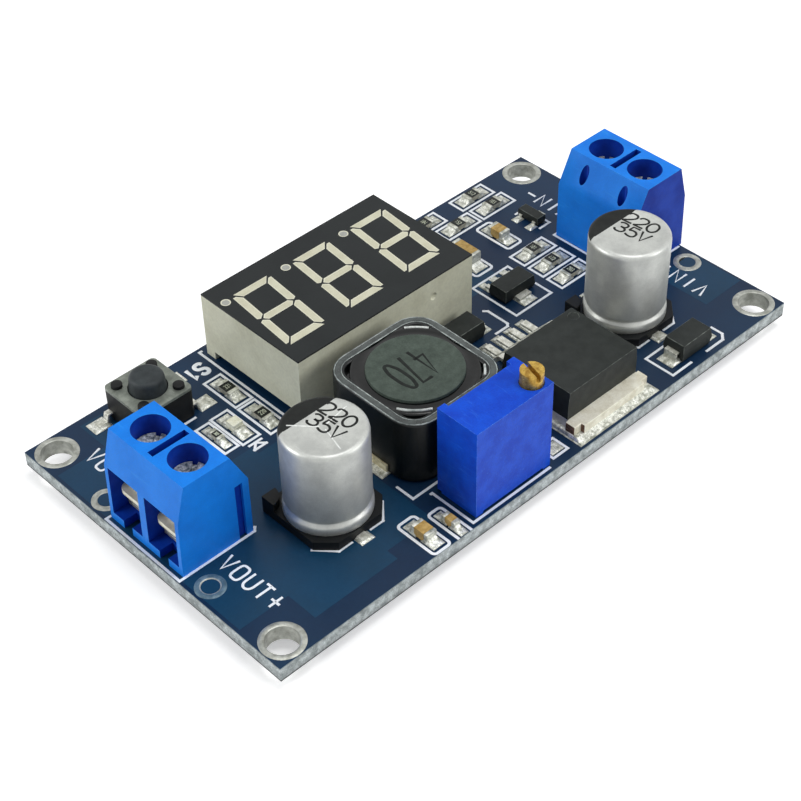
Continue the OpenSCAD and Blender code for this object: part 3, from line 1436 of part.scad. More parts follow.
module chip_ends() {
    color("gainsboro") {
        for (chip = RESISTORS) chip_end_pair(chip, resistor_h);
        for (chip = CAPACITORS) chip_end_pair(chip, chip[3].z);
        chip_end_pair(LAMP, lamp_h * 0.5);
    }
}

module meter_controller() {
    color("#2b2d30") translate([display_at.x, display_at.y, on_pad]) block(controller_size);
}

circuit_board();
hole_plating();
solder_pads();
board_print();
underside_solder();
output_terminal_housing();
output_terminal_contacts();
output_clamp_1();
output_clamp_2();
output_screw_1();
output_screw_2();
input_terminal_housing();
input_terminal_contacts();
input_clamp_1();
input_clamp_2();
input_screw_1();
input_screw_2();
output_capacitor_can();
output_capacitor_base();
input_capacitor_can();
input_capacitor_base();
capacitor_leads();
capacitor_bungs();
capacitor_windings();
capacitor_marks();
inductor_core();
inductor_shield();
inductor_winding();
inductor_terminals();
regulator_package();
regulator_heat_tab();
regulator_leads();
output_diode_package();
input_diode_package();
meter_regulator_package();
transistor_package();
small_package_leads();
display_shell();
display_face();
display_bars();
display_board();
display_pins();
button_base();
button_cover();
button_plunger();
button_dome();
button_legs();
trimmer_housing();
trimmer_base();
trimmer_screw();
trimmer_carriage();
trimmer_element();
trimmer_pins();
chip_resistors();
chip_capacitors();
chip_ends();
indicator_lamp();
meter_controller();
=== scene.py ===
"""Looks of the step-down converter board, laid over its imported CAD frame."""
import json
from math import cos, exp, pi, radians, sin

import bmesh
import bpy
from mathutils import Matrix, Vector, noise


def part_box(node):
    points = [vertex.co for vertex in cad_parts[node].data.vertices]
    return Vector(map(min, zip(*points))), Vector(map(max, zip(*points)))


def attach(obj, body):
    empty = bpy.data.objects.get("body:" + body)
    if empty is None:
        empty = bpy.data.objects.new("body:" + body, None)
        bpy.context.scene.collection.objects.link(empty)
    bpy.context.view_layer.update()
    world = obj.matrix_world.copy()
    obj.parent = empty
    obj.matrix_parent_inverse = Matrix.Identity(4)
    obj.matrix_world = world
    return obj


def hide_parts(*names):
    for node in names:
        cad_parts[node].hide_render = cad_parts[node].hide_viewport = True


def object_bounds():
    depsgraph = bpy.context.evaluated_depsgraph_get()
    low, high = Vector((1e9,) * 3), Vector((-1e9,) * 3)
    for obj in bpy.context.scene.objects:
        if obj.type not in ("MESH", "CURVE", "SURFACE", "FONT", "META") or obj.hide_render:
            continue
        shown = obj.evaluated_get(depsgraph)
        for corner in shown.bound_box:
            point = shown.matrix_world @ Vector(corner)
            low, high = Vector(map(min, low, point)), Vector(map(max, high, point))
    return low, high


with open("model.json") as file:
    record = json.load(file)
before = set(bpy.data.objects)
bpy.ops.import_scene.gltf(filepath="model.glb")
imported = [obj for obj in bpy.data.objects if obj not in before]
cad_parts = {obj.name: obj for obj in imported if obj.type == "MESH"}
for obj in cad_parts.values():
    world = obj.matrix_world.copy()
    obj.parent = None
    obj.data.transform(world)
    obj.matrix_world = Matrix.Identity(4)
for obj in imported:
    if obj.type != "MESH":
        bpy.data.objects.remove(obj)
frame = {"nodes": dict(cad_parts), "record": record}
cad_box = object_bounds()
scene = bpy.context.scene
MM = 0.001
SAME_SPOT = 0.001 * MM  # corners closer than this are one
SLOT_OF = {part["node"]: part["material_slot"] for part in frame["record"]["subparts"]}
BODY_OF = {node: body for body, nodes in frame["record"]["behaviour"]["bodies"].items() for node in nodes}


# ---- small helpers ----

def paint(red, green, blue):
    """A colour given as it looks on a screen, 0 to 255, as Blender's linear colour."""
    def linear(value):
        value /= 255
        return value / 12.92 if value <= 0.04045 else ((value + 0.055) / 1.055) ** 2.4
    return (linear(red), linear(green), linear(blue), 1)


def add(tree, kind, joins=None, **settings):
    """Adds a node; joins gives its inputs by name or number, as sockets or plain values."""
    node = tree.nodes.new(kind)
    for key, value in settings.items():
        setattr(node, key, value)
    for socket, value in (joins or {}).items():
        if isinstance(value, bpy.types.NodeSocket):
            tree.links.new(value, node.inputs[socket])
        else:
            node.inputs[socket].default_value = value
    return node


def mixed_colour(tree, share, first, second):
    """The colour output of a Mix node, whose colour sockets are numbers 6 and 7."""
    return add(tree, "ShaderNodeMix", {0: share, 6: first, 7: second}, data_type="RGBA").outputs[2]


def new_group(name, inputs, outputs):
    """An empty shader group with named sockets, its input node and its output node."""
    tree = bpy.data.node_groups.new(name, "ShaderNodeTree")
    for socket, kind, value in inputs:
        item = tree.interface.new_socket(socket, in_out="INPUT", socket_type=kind)
        if value is not None:
            item.default_value = value
    for socket, kind in outputs:
        tree.interface.new_socket(socket, in_out="OUTPUT", socket_type=kind)
    return tree, tree.nodes.new("NodeGroupInput").outputs, tree.nodes.new("NodeGroupOutput").inputs


FLOAT, COLOUR, VECTOR = "NodeSocketFloat", "NodeSocketColor", "NodeSocketVector"


# ---- shared effects ----

def make_mottle():
    """Uneven tone and gloss: soft blotches with a fine grain over them. Sizes are in mm."""
    tree, given, out = new_group("mottle", [
        ("Where", VECTOR, None), ("Tone", COLOUR, None), ("Shade", COLOUR, None),
        ("Blotch size", FLOAT, 2.0), ("Grain size", FLOAT, 0.1), ("Speckle", FLOAT, 0.1),
        ("Gloss low", FLOAT, 0.4), ("Gloss high", FLOAT, 0.5),
    ], [("Color", COLOUR), ("Roughness", FLOAT), ("Height", FLOAT)])
    per_blotch = add(tree, "ShaderNodeMath", {0: 1000.0, 1: given["Blotch size"]}, operation="DIVIDE")
    per_grain = add(tree, "ShaderNodeMath", {0: 1000.0, 1: given["Grain size"]}, operation="DIVIDE")
    blotch = add(tree, "ShaderNodeTexNoise", {"Vector": given["Where"], "Scale": per_blotch.outputs[0],
                                              "Detail": 4.0, "Roughness": 0.6})
    grain = add(tree, "ShaderNodeTexNoise", {"Vector": given["Where"], "Scale": per_grain.outputs[0],
                                             "Detail": 2.0})
    share = add(tree, "ShaderNodeMapRange", {"Value": blotch.outputs[0], "From Min": 0.36, "From Max": 0.64})
    tone = mixed_colour(tree, share.outputs[0], given["Tone"], given["Shade"])
    swing = add(tree, "ShaderNodeMapRange", {"Value": grain.outputs[0], "From Min": 0.3, "From Max": 0.7,
                                             "To Min": -1.0, "To Max": 1.0})
    lift = add(tree, "ShaderNodeMath", {0: swing.outputs[0], 1: given["Speckle"], 2: 1.0},
               operation="MULTIPLY_ADD")
    speckled = add(tree, "ShaderNodeVectorMath", {0: tone, "Scale": lift.outputs[0]},
                   operation="SCALE")
    both = add(tree, "ShaderNodeMath", {0: blotch.outputs[0], 1: grain.outputs[0]}, operation="ADD")
    gloss = add(tree, "ShaderNodeMapRange", {"Value": both.outputs[0], "From Min": 0.7, "From Max": 1.3,
                                             "To Min": given["Gloss low"], "To Max": given["Gloss high"]})
    tree.links.new(speckled.outputs[0], out["Color"])
    tree.links.new(gloss.outputs[0], out["Roughness"])
    tree.links.new(grain.outputs[0], out["Height"])
    return tree


def make_scuffs():
    """Fine scratches: noise drawn out along one axis, kept only where it peaks."""
    tree, given, out = new_group("scuffs", [
        ("Where", VECTOR, None), ("Spacing", FLOAT, 0.3), ("Amount", FLOAT, 0.3),
    ], [("Mask", FLOAT)])
    per_mm = add(tree, "ShaderNodeMath", {0: 1000.0, 1: given["Spacing"]}, operation="DIVIDE")
    drawn = add(tree, "ShaderNodeMapping", {"Vector": given["Where"], "Rotation": (0.3, 0.5, 0.9),
                                            "Scale": (1.0, 0.12, 1.0)})
    lines = add(tree, "ShaderNodeTexNoise", {"Vector": drawn.outputs[0], "Scale": per_mm.outputs[0],
                                             "Detail": 3.0, "Roughness": 0.7})
    peaks = add(tree, "ShaderNodeMapRange", {"Value": lines.outputs[0], "From Min": 0.6, "From Max": 0.72})
    mask = add(tree, "ShaderNodeMath", {0: peaks.outputs[0], 1: given["Amount"]}, operation="MULTIPLY")
    tree.links.new(mask.outputs[0], out["Mask"])
    return tree


MOTTLE = make_mottle()
SCUFFS = make_scuffs()
SCRATCH_LIFT = 70  # how much lighter a scratch is than the finish


def new_finish(name, tone, shade, blotch=2.0, grain=0.1, speckle=0.06, gloss=(0.4, 0.5), depth=0.004,
               metal=0.0, scuffs=0.0, specular=0.5):
    """A procedural finish of one of the object's materials.

    Colours are as seen on a screen, 0 to 255. The blotch and grain sizes, and depth, the grain's
    height, are in mm.
    """
    material = bpy.data.materials.new(name)
    material.use_nodes = True
    tree = material.node_tree
    shader = tree.nodes["Principled BSDF"]
    where = add(tree, "ShaderNodeTexCoord").outputs["Object"]
    mottle = add(tree, "ShaderNodeGroup", node_tree=MOTTLE)
    tree.links.new(where, mottle.inputs["Where"])
    for socket, value in (("Tone", paint(*tone)), ("Shade", paint(*shade)), ("Blotch size", blotch),
                          ("Grain size", grain), ("Speckle", speckle),
                          ("Gloss low", gloss[0]), ("Gloss high", gloss[1])):
        mottle.inputs[socket].default_value = value
    colour = mottle.outputs["Color"]
    if scuffs:
        marks = add(tree, "ShaderNodeGroup", node_tree=SCUFFS)
        tree.links.new(where, marks.inputs["Where"])
        marks.inputs["Amount"].default_value = scuffs
        scratched = paint(*[min(255, value + SCRATCH_LIFT) for value in tone])
        colour = mixed_colour(tree, marks.outputs["Mask"], colour, scratched)
    tree.links.new(colour, shader.inputs["Base Color"])
    tree.links.new(mottle.outputs["Roughness"], shader.inputs["Roughness"])
    bump = add(tree, "ShaderNodeBump", {"Height": mottle.outputs["Height"], "Strength": 1.0,
                                        "Distance": depth * MM})
    tree.links.new(bump.outputs[0], shader.inputs["Normal"])
    shader.inputs["Metallic"].default_value = metal
    shader.inputs["Specular IOR Level"].default_value = specular
    return material


# ---- finishes, by the record's material slots ----

FINISH = {slot: new_finish(slot, **values) for slot, values in {
    "board_mask": dict(tone=(13, 38, 66), shade=(15, 46, 74), blotch=14, grain=0.25, speckle=0.04,
                       gloss=(0.3, 0.42), depth=0.002, specular=0.22),
    "plating": dict(tone=(188, 190, 182), shade=(140, 142, 134), blotch=0.9, metal=0.5, gloss=(0.3, 0.48)),
    "pad_tin": dict(tone=(232, 233, 222), shade=(150, 152, 138), blotch=0.6, metal=0.4, gloss=(0.3, 0.5)),
    "print_white": dict(tone=(250, 252, 255), shade=(236, 241, 246), blotch=1.5, gloss=(0.5, 0.6),
                        specular=0.3),
    "solder": dict(tone=(244, 245, 236), shade=(150, 152, 138), blotch=0.45, grain=0.12, speckle=0.16,
                   metal=0.4, gloss=(0.22, 0.45), depth=0.02),
    "terminal_blue": dict(tone=(16, 132, 240), shade=(12, 120, 226), blotch=3, grain=0.12, speckle=0.05,
                          gloss=(0.4, 0.52), depth=0.006, scuffs=0.12, specular=0.25),
    "contact_tin": dict(tone=(240, 236, 216), shade=(212, 208, 184), blotch=0.8, metal=0.3,
                        gloss=(0.3, 0.45)),
    "clamp_steel": dict(tone=(224, 224, 216), shade=(166, 166, 158), blotch=0.6, metal=0.5,
                        gloss=(0.25, 0.42)),
    # painted glint and shade: the screws' near-white flecks stand for glints on their heads, their dark
    # blue-grey for the shade of the wells around them
    "screw_steel": dict(tone=(246, 250, 246), shade=(70, 84, 92), blotch=0.5, grain=0.2, speckle=0.3,
                        metal=0.3, gloss=(0.2, 0.45), depth=0.06, scuffs=0.5),
    "can_aluminium": dict(tone=(200, 202, 197), shade=(182, 184, 180), blotch=1.6, grain=0.1,
                          speckle=0.07, metal=0.5, gloss=(0.36, 0.48), depth=0.004, scuffs=0.12),
    "base_black": dict(tone=(20, 22, 23), shade=(13, 15, 16), gloss=(0.4, 0.55), specular=0.2),
    "bung_rubber": dict(tone=(32, 32, 32), shade=(24, 24, 24), gloss=(0.6, 0.75)),
    "winding_paper": dict(tone=(200, 176, 130), shade=(182, 156, 112), gloss=(0.7, 0.8)),
    "mark_black": dict(tone=(22, 25, 23), shade=(14, 16, 15), blotch=1.2, gloss=(0.45, 0.6),
                       specular=0.2),
    "ferrite": dict(tone=(74, 85, 77), shade=(60, 70, 63), blotch=1.1, grain=0.13, speckle=0.2,
                    gloss=(0.55, 0.7), depth=0.012, specular=0.25),
    "shield_ferrite": dict(tone=(13, 18, 18), shade=(8, 11, 12), blotch=2.2, grain=0.12,
                           gloss=(0.3, 0.42), depth=0.006, specular=0.3),
    "copper_wire": dict(tone=(150, 84, 44), shade=(112, 58, 28), metal=0.7, gloss=(0.25, 0.4)),
    "clip_tin": dict(tone=(236, 228, 196), shade=(190, 178, 138), blotch=0.8, metal=0.35,
                     gloss=(0.28, 0.45)),
    "mould_black": dict(tone=(36, 40, 38), shade=(27, 31, 29), blotch=1.4, grain=0.1, speckle=0.14,
                        gloss=(0.5, 0.64), depth=0.008, specular=0.25),
    "tab_tin": dict(tone=(252, 249, 232), shade=(226, 220, 198), blotch=1.2, metal=0.2,
                    gloss=(0.3, 0.48), scuffs=0.2),
    "lead_tin": dict(tone=(238, 238, 228), shade=(180, 180, 166), blotch=0.5, metal=0.4,
                     gloss=(0.25, 0.42)),
    "display_beige": dict(tone=(226, 226, 202), shade=(210, 209, 184), blotch=4, grain=0.3,
                          speckle=0.05, gloss=(0.42, 0.55), depth=0.01, specular=0.3),
    "display_black": dict(tone=(30, 34, 35), shade=(24, 28, 29), blotch=5, grain=0.16,
                          gloss=(0.34, 0.44), depth=0.004, specular=0.2),
    "display_cream": dict(tone=(216, 214, 190), shade=(204, 201, 176), blotch=1.5, gloss=(0.4, 0.55),
                          specular=0.3),
    "display_laminate": dict(tone=(34, 92, 54), shade=(26, 74, 44), gloss=(0.35, 0.5)),
    "button_black": dict(tone=(18, 20, 21), shade=(12, 13, 14), gloss=(0.4, 0.55), specular=0.2),
    "button_steel": dict(tone=(140, 146, 136), shade=(104, 110, 102), blotch=1.2, metal=0.5,
                         gloss=(0.36, 0.5), scuffs=0.2),
    "plunger_black": dict(tone=(52, 58, 60), shade=(40, 45, 47), blotch=1, gloss=(0.45, 0.6),
                          specular=0.25),
    "dome_steel": dict(tone=(214, 198, 144), shade=(190, 172, 120), metal=0.85, gloss=(0.2, 0.3)),
    "trimmer_blue": dict(tone=(8, 80, 214), shade=(6, 66, 196), blotch=1.6, grain=0.14, speckle=0.07,
                         gloss=(0.4, 0.52), depth=0.012, scuffs=0.2, specular=0.22),
    "trimmer_resin": dict(tone=(30, 62, 140), shade=(22, 50, 120), gloss=(0.3, 0.45)),
    "adjuster_brass": dict(tone=(206, 172, 84), shade=(150, 112, 40), blotch=0.5, metal=0.7,
                           gloss=(0.25, 0.42), scuffs=0.3),
    "carriage_ivory": dict(tone=(228, 222, 202), shade=(210, 204, 184), gloss=(0.5, 0.6)),
    "element_ceramic": dict(tone=(236, 234, 226), shade=(220, 218, 208), gloss=(0.5, 0.6)),
    "resistor_black": dict(tone=(26, 30, 28), shade=(18, 21, 20), blotch=0.5, gloss=(0.28, 0.4),
                           specular=0.25),
    "capacitor_tan": dict(tone=(204, 172, 106), shade=(170, 136, 72), blotch=0.5, gloss=(0.35, 0.5),
                          specular=0.3),
    "lamp_resin": dict(tone=(240, 240, 222), shade=(220, 218, 190), blotch=0.5, gloss=(0.2, 0.35)),
}.items()}
COPPER_UNDER_MASK = new_finish("copper_under_mask", (17, 60, 90), (15, 54, 80), blotch=9, grain=0.25,
                               speckle=0.04, gloss=(0.3, 0.42), depth=0.002, specular=0.22)
ALUMINA = new_finish("alumina", (200, 196, 176), (150, 146, 128), blotch=0.4, gloss=(0.5, 0.65))
RESIN = new_finish("potting_resin", (9, 12, 12), (5, 7, 7), blotch=1.2, gloss=(0.08, 0.2), depth=0.02,
                   grain=0.5, specular=0.35)
LACQUER = new_finish("clear_lacquer", (74, 82, 80), (44, 50, 49), blotch=0.9, gloss=(0.15, 0.3),
                     specular=0.6)
# painted highlight: pale grey for the lips along the lacquer band's outer and inner edges
LACQUER_PAINTED_HIGHLIGHT = new_finish("lacquer_painted_highlight", (176, 186, 182), (92, 100, 98), blotch=0.8, gloss=(0.12, 0.3),
                         specular=0.6)
# painted highlight: near-white for the glints on the resin's meniscus at the gap
RESIN_PAINTED_GLINT = new_finish("resin_painted_glint", (236, 240, 236), (150, 158, 154), blotch=0.7, gloss=(0.1, 0.2))
CODE_INK = new_finish("code_ink", (200, 206, 184), (168, 172, 150), blotch=0.3, gloss=(0.5, 0.6))
ENGRAVING = new_finish("engraving", (26, 31, 28), (18, 22, 20), blotch=0.5, gloss=(0.6, 0.75),
                       specular=0.2)
VENT_SCORE = new_finish("vent_score", (244, 246, 242), (214, 217, 213), blotch=0.5, metal=0.2,
                        gloss=(0.3, 0.4))
# painted shade: a darker blue for the terminals' wells, slots and mouths, where shade falls
TERMINAL_PAINTED_SHADE = new_finish("terminal_painted_shade", (8, 62, 176), (4, 46, 150), blotch=3, gloss=(0.45, 0.6),
                           specular=0.15)
# painted highlight: a lighter blue for the terminals' eased outer edges
TERMINAL_PAINTED_HIGHLIGHT = new_finish("terminal_painted_highlight", (96, 186, 255), (30, 140, 240), blotch=0.6, gloss=(0.45, 0.6),
                           specular=0.3)
# wear and painted highlight: a chipped, lighter blue for the trimmer's eased edges
TRIMMER_WEAR_AND_HIGHLIGHT = new_finish("trimmer_wear_and_highlight", (110, 180, 255), (16, 88, 226), blotch=0.35, gloss=(0.45, 0.6),
                          specular=0.3)
# painted highlight: a lighter grey for the eased edges of the black moulded packages
MOULD_PAINTED_HIGHLIGHT = new_finish("mould_painted_highlight", (110, 116, 110), (44, 48, 46), blotch=0.7, gloss=(0.5, 0.65),
                        specular=0.25)
COPPER_CUT = new_finish("copper_cut", (134, 100, 78), (84, 58, 42), blotch=0.3, metal=0.4, gloss=(0.4, 0.55))
# painted shade: dark grey for the inner walls of the wire holes, which stand in shade
WIRE_HOLE_PAINTED_SHADE = new_finish("wire_hole_painted_shade", (84, 84, 80), (40, 42, 42), blotch=0.5, metal=0.5, gloss=(0.35, 0.5))
DULL_RING = new_finish("ring_under_mask", (104, 128, 140), (66, 92, 108), blotch=0.6, metal=0.2,
                       gloss=(0.35, 0.5))
BAR_LIP = new_finish("bar_lip", (228, 227, 206), (218, 216, 194), blotch=1, gloss=(0.4, 0.5), specular=0.3)
POINT_GREY = new_finish("decimal_point", (172, 173, 166), (158, 159, 152), blotch=0.6, gloss=(0.4, 0.5))


def make_laminate_edge():
    """Sawn glass-fibre laminate: pale and mottled, darker and bluer in a thin band at its top face and nearly
    black at its bottom face.
    """
    material = new_finish("laminate_edge", (206, 214, 214), (140, 148, 148), blotch=0.7, grain=0.12,
                          speckle=0.3, gloss=(0.6, 0.75), depth=0.02)
    tree = material.node_tree
    shader = tree.nodes["Principled BSDF"]
    low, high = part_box("circuit_board")
    body_colour = shader.inputs["Base Color"].links[0].from_socket
    place = add(tree, "ShaderNodeSeparateXYZ", {0: add(tree, "ShaderNodeTexCoord").outputs["Object"]})
    height = add(tree, "ShaderNodeMapRange", {"Value": place.outputs["Z"], "From Min": low[2],
                                              "From Max": high[2]})
    bands = add(tree, "ShaderNodeValToRGB", {0: height.outputs[0]})
    stops = bands.color_ramp.elements
    stops[0].position, stops[0].color = 0.0, (0.02, 0.03, 0.04, 1)
    stops[1].position, stops[1].color = 1.0, (0.16, 0.3, 0.42, 1)
    for position, level in ((0.07, 0.1), (0.14, 0.75), (0.5, 1.0), (0.88, 0.95), (0.94, 0.6)):
        stops.new(position).color = (level, level, level, 1)
    mixed = add(tree, "ShaderNodeVectorMath", {0: body_colour, 1: bands.outputs[0]}, operation="MULTIPLY")
    tree.links.new(mixed.outputs[0], shader.inputs["Base Color"])
    return material


LAMINATE_EDGE = make_laminate_edge()
for node, cad in frame["nodes"].items():
    cad.data.materials.clear()
    cad.data.materials.append(FINISH[SLOT_OF[node]])


# ---- making pieces ----

def merged(node):
    """A CAD node's mesh as a bmesh whose triangles share their corners."""
    bm = bmesh.new()
    bm.from_mesh(frame["nodes"][node].data)
    bmesh.ops.remove_doubles(bm, verts=bm.verts, dist=SAME_SPOT)
    return bm


def joined(node):
    """A CAD node's mesh as a bmesh whose flat faces are whole again."""
    bm = merged(node)
    bmesh.ops.dissolve_limit(bm, angle_limit=radians(0.8), verts=bm.verts, edges=bm.edges)
    return bm


def settle(bm, name, finishes, body="module", stands_for=(), crease=38, weighted=True):
    """Turns a bmesh into a piece that rides on a body. Edges sharper than crease degrees stay sharp."""
    for face in bm.faces:
        face.smooth = True
    for edge in bm.edges:
        edge.smooth = len(edge.link_faces) == 2 and edge.calc_face_angle(0) < radians(crease)
    mesh = bpy.data.meshes.new(name)
    bm.to_mesh(mesh)
    bm.free()
    for finish in finishes:
        mesh.materials.append(finish)
    piece = bpy.data.objects.new(name, mesh)
    scene.collection.objects.link(piece)
    if weighted:
        piece.modifiers.new("face_normals", "WEIGHTED_NORMAL").keep_sharp = True
    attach(piece, body)
    if stands_for:
        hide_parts(*stands_for)
    return piece


def bevel(bm, edges, width, segments=2):
    """Rounds edges, width in mm, and gives the new faces."""
    made = bmesh.ops.bevel(bm, geom=list(edges), offset=width * MM, offset_type="OFFSET", affect="EDGES",
                           segments=segments, profile=0.5, material=-1, clamp_overlap=True)
    return made["faces"]


def sharp(bm, angle=28):
    """Edges between faces that meet at more than angle degrees."""
    return [edge for edge in bm.edges
            if len(edge.link_faces) == 2 and edge.calc_face_angle(0) > radians(angle)]


INNER_DEPTH = 0.16 * MM  # a face this far below the hull counts as an inner one


def ease(node, width, segments=2, finishes=None, pick=None, choose=None, edge_wear_and_highlight=None, inner_painted_shade=None):
    """Replaces a CAD node by the same shape with eased edges.

    pick gives a finish number for each face. The edge finish goes on eased outer edges and is lighter,
    a painted highlight (with wear on the trimmer); the inner finish goes on faces inside the shape's
    hull and is darker, a painted shade.
    """
    bm = joined(node)
    own = [FINISH[SLOT_OF[node]]] if finishes is None else list(finishes)
    hull = hull_planes(bm) if edge_wear_and_highlight or inner_painted_shade else ()
    edges = [edge for edge in sharp(bm) if choose is None or choose(edge)]
    eased = bevel(bm, edges, width, segments)
    for face in bm.faces:
        face.material_index = pick(face) if pick else 0
    # inner faces take the painted shade, eased outer edges the painted highlight
    for finish, faces, inside in ((inner_painted_shade, bm.faces, True), (edge_wear_and_highlight, eased, False)):
        if finish is None:
            continue
        own.append(finish)
        for face in faces:
            if (depth_below(face.calc_center_median(), hull) > INNER_DEPTH) == inside:
                face.material_index = len(own) - 1
    return settle(bm, "eased_" + node, own, BODY_OF[node], (node,))


def hull_planes(bm):
    """Point and outward normal of each face of a shape's convex hull."""
    shell = bm.copy()
    made = bmesh.ops.convex_hull(shell, input=shell.verts, use_existing_faces=False)
    centre = sum((vert.co for vert in shell.verts), Vector()) / len(shell.verts)
    planes = []
    for face in {item for item in made["geom"] if isinstance(item, bmesh.types.BMFace)}:
        face.normal_update()
        spot = face.calc_center_median()
        outward = face.normal if face.normal.dot(spot - centre) > 0 else -face.normal
        planes.append((spot, outward.copy()))
    shell.free()
    return planes


def depth_below(spot, planes):
    """How far a point lies below the nearest face of the hull."""
    return min((place - spot).dot(normal) for place, normal in planes)


def islands(node):
    """Lowest and highest corner of each separate solid of a CAD node."""
    bm = merged(node)
    left, boxes = set(bm.verts), []
    while left:
        waiting, found = [left.pop()], []
        while waiting:
            vert = waiting.pop()
            found.append(vert.co.copy())
            for edge in vert.link_edges:
                other = edge.other_vert(vert)
                if other in left:
                    left.remove(other)
                    waiting.append(other)
        boxes.append((Vector([min(co[i] for co in found) for i in range(3)]),
                      Vector([max(co[i] for co in found) for i in range(3)])))
    bm.free()
    return sorted(boxes, key=lambda pair: (round(pair[0].x, 5), round(pair[0].y, 5), pair[0].z))


def upright_axis(low, high):
    """The point on the ground under the middle of a box."""
    return Vector(((low[0] + high[0]) / 2, (low[1] + high[1]) / 2, 0))


def add_plate(bm, size, centre, height, steps=(1, 1)):
    """A flat rectangle of steps by steps faces at a height."""
    made = bmesh.ops.create_grid(bm, x_segments=steps[0], y_segments=steps[1], size=0.5)["verts"]
    bmesh.ops.scale(bm, verts=made, vec=(size.x, size.y, 1))
    bmesh.ops.translate(bm, verts=made, vec=(centre.x, centre.y, height))
    return list({face for vert in made for face in vert.link_faces})


def raise_slab(bm, faces, depth):
    """Gives flat faces a thickness upwards, closed below."""
    raised = bmesh.ops.extrude_face_region(bm, geom=faces, use_keep_orig=True)
    verts = [item for item in raised["geom"] if isinstance(item, bmesh.types.BMVert)]
    bmesh.ops.translate(bm, verts=verts, vec=(0, 0, depth))
    return verts


def spun(profile, centre, segments=64):
    """A closed turned shape from (radius, height) pairs in mm, about an upright axis."""
    bm = bmesh.new()
    verts = [bm.verts.new((radius * MM, 0, height * MM)) for radius, height in profile]
    edges = [bm.edges.new(pair) for pair in zip(verts, verts[1:])]
    bmesh.ops.spin(bm, geom=verts + edges, cent=(0, 0, 0), axis=(0, 0, 1), angle=2 * pi, steps=segments,
                   use_merge=True)
    bmesh.ops.remove_doubles(bm, verts=bm.verts, dist=0.0005 * MM)
    bmesh.ops.recalc_face_normals(bm, faces=bm.faces)
    bmesh.ops.translate(bm, verts=bm.verts, vec=centre)
    return bm


def arc(centre, radii, start, stop, knots=7, squareness=1.0):
    """Knots on an arc, angles in degrees; squareness below 1 fills the corners of its box."""
    spots = []
    for knot in range(knots):
        angle = radians(start + (stop - start) * knot / (knots - 1))
        across, rise = (abs(value) ** squareness * (1 if value > 0 else -1)
                        for value in (cos(angle), sin(angle)))
        spots.append((centre[0] + radii[0] * across, centre[1] + radii[1] * rise))
    return spots


# Each character is a list of strokes in a box of 1 by 1: whether it bends, and its knots.
STROKES = {
    "0": [(True, arc((0.5, 0.5), (0.5, 0.5), 90, 450, 9))],
    "1": [(False, [(0.2, 0.78), (0.55, 1), (0.55, 0)])],
    "2": [(True, [(0.04, 0.76), (0.2, 0.95), (0.5, 1), (0.85, 0.93), (0.96, 0.72), (0.8, 0.48), (0, 0)]),
          (False, [(0, 0), (1, 0)])],
    "3": [(True, [(0.05, 0.86), (0.25, 0.98), (0.5, 1), (0.84, 0.92), (0.92, 0.74), (0.78, 0.57),
                  (0.4, 0.53)]),
          (True, [(0.4, 0.53), (0.85, 0.46), (0.98, 0.27), (0.84, 0.07), (0.5, 0), (0.2, 0.03),
                  (0.02, 0.18)])],
    "4": [(False, [(0.74, 0), (0.74, 1), (0, 0.3), (1, 0.3)])],
    "5": [(False, [(0.9, 1), (0.16, 1), (0.08, 0.55)]),
          (True, [(0.08, 0.55), (0.45, 0.64), (0.86, 0.54), (0.98, 0.3), (0.85, 0.07), (0.45, 0),
                  (0.04, 0.1)])],
    "7": [(False, [(0, 1), (1, 1), (0.4, 0)])],
    "V": [(False, [(0, 1), (0.5, 0), (1, 1)])],
    "O": [(True, arc((0.5, 0.5), (0.5, 0.5), 90, 450, 17, 0.55))],
    "U": [(False, [(0, 1), (0, 0.35)]), (True, arc((0.5, 0.35), (0.5, 0.35), 180, 360)),
          (False, [(1, 0.35), (1, 1)])],
    "T": [(False, [(0, 1), (1, 1)]), (False, [(0.5, 1), (0.5, 0)])],
    "I": [(False, [(0.5, 0), (0.5, 1)])],
    "N": [(False, [(0, 0), (0, 1), (1, 0), (1, 1)])],
    "S": [(True, [(0.94, 0.8), (0.75, 0.96), (0.48, 1), (0.16, 0.94), (0.04, 0.74), (0.18, 0.57),
                  (0.5, 0.5), (0.84, 0.42), (0.97, 0.24), (0.82, 0.05), (0.5, 0), (0.2, 0.03),
                  (0.04, 0.18)])],
    "+": [(False, [(0, 0.5), (1, 0.5)]), (False, [(0.5, 0.06), (0.5, 0.94)])],
    "-": [(False, [(0, 0.5), (1, 0.5)])],
}


FLAT = ((1, 0, 0), (0, 1, 0))  # words that read along X, with their tops towards Y


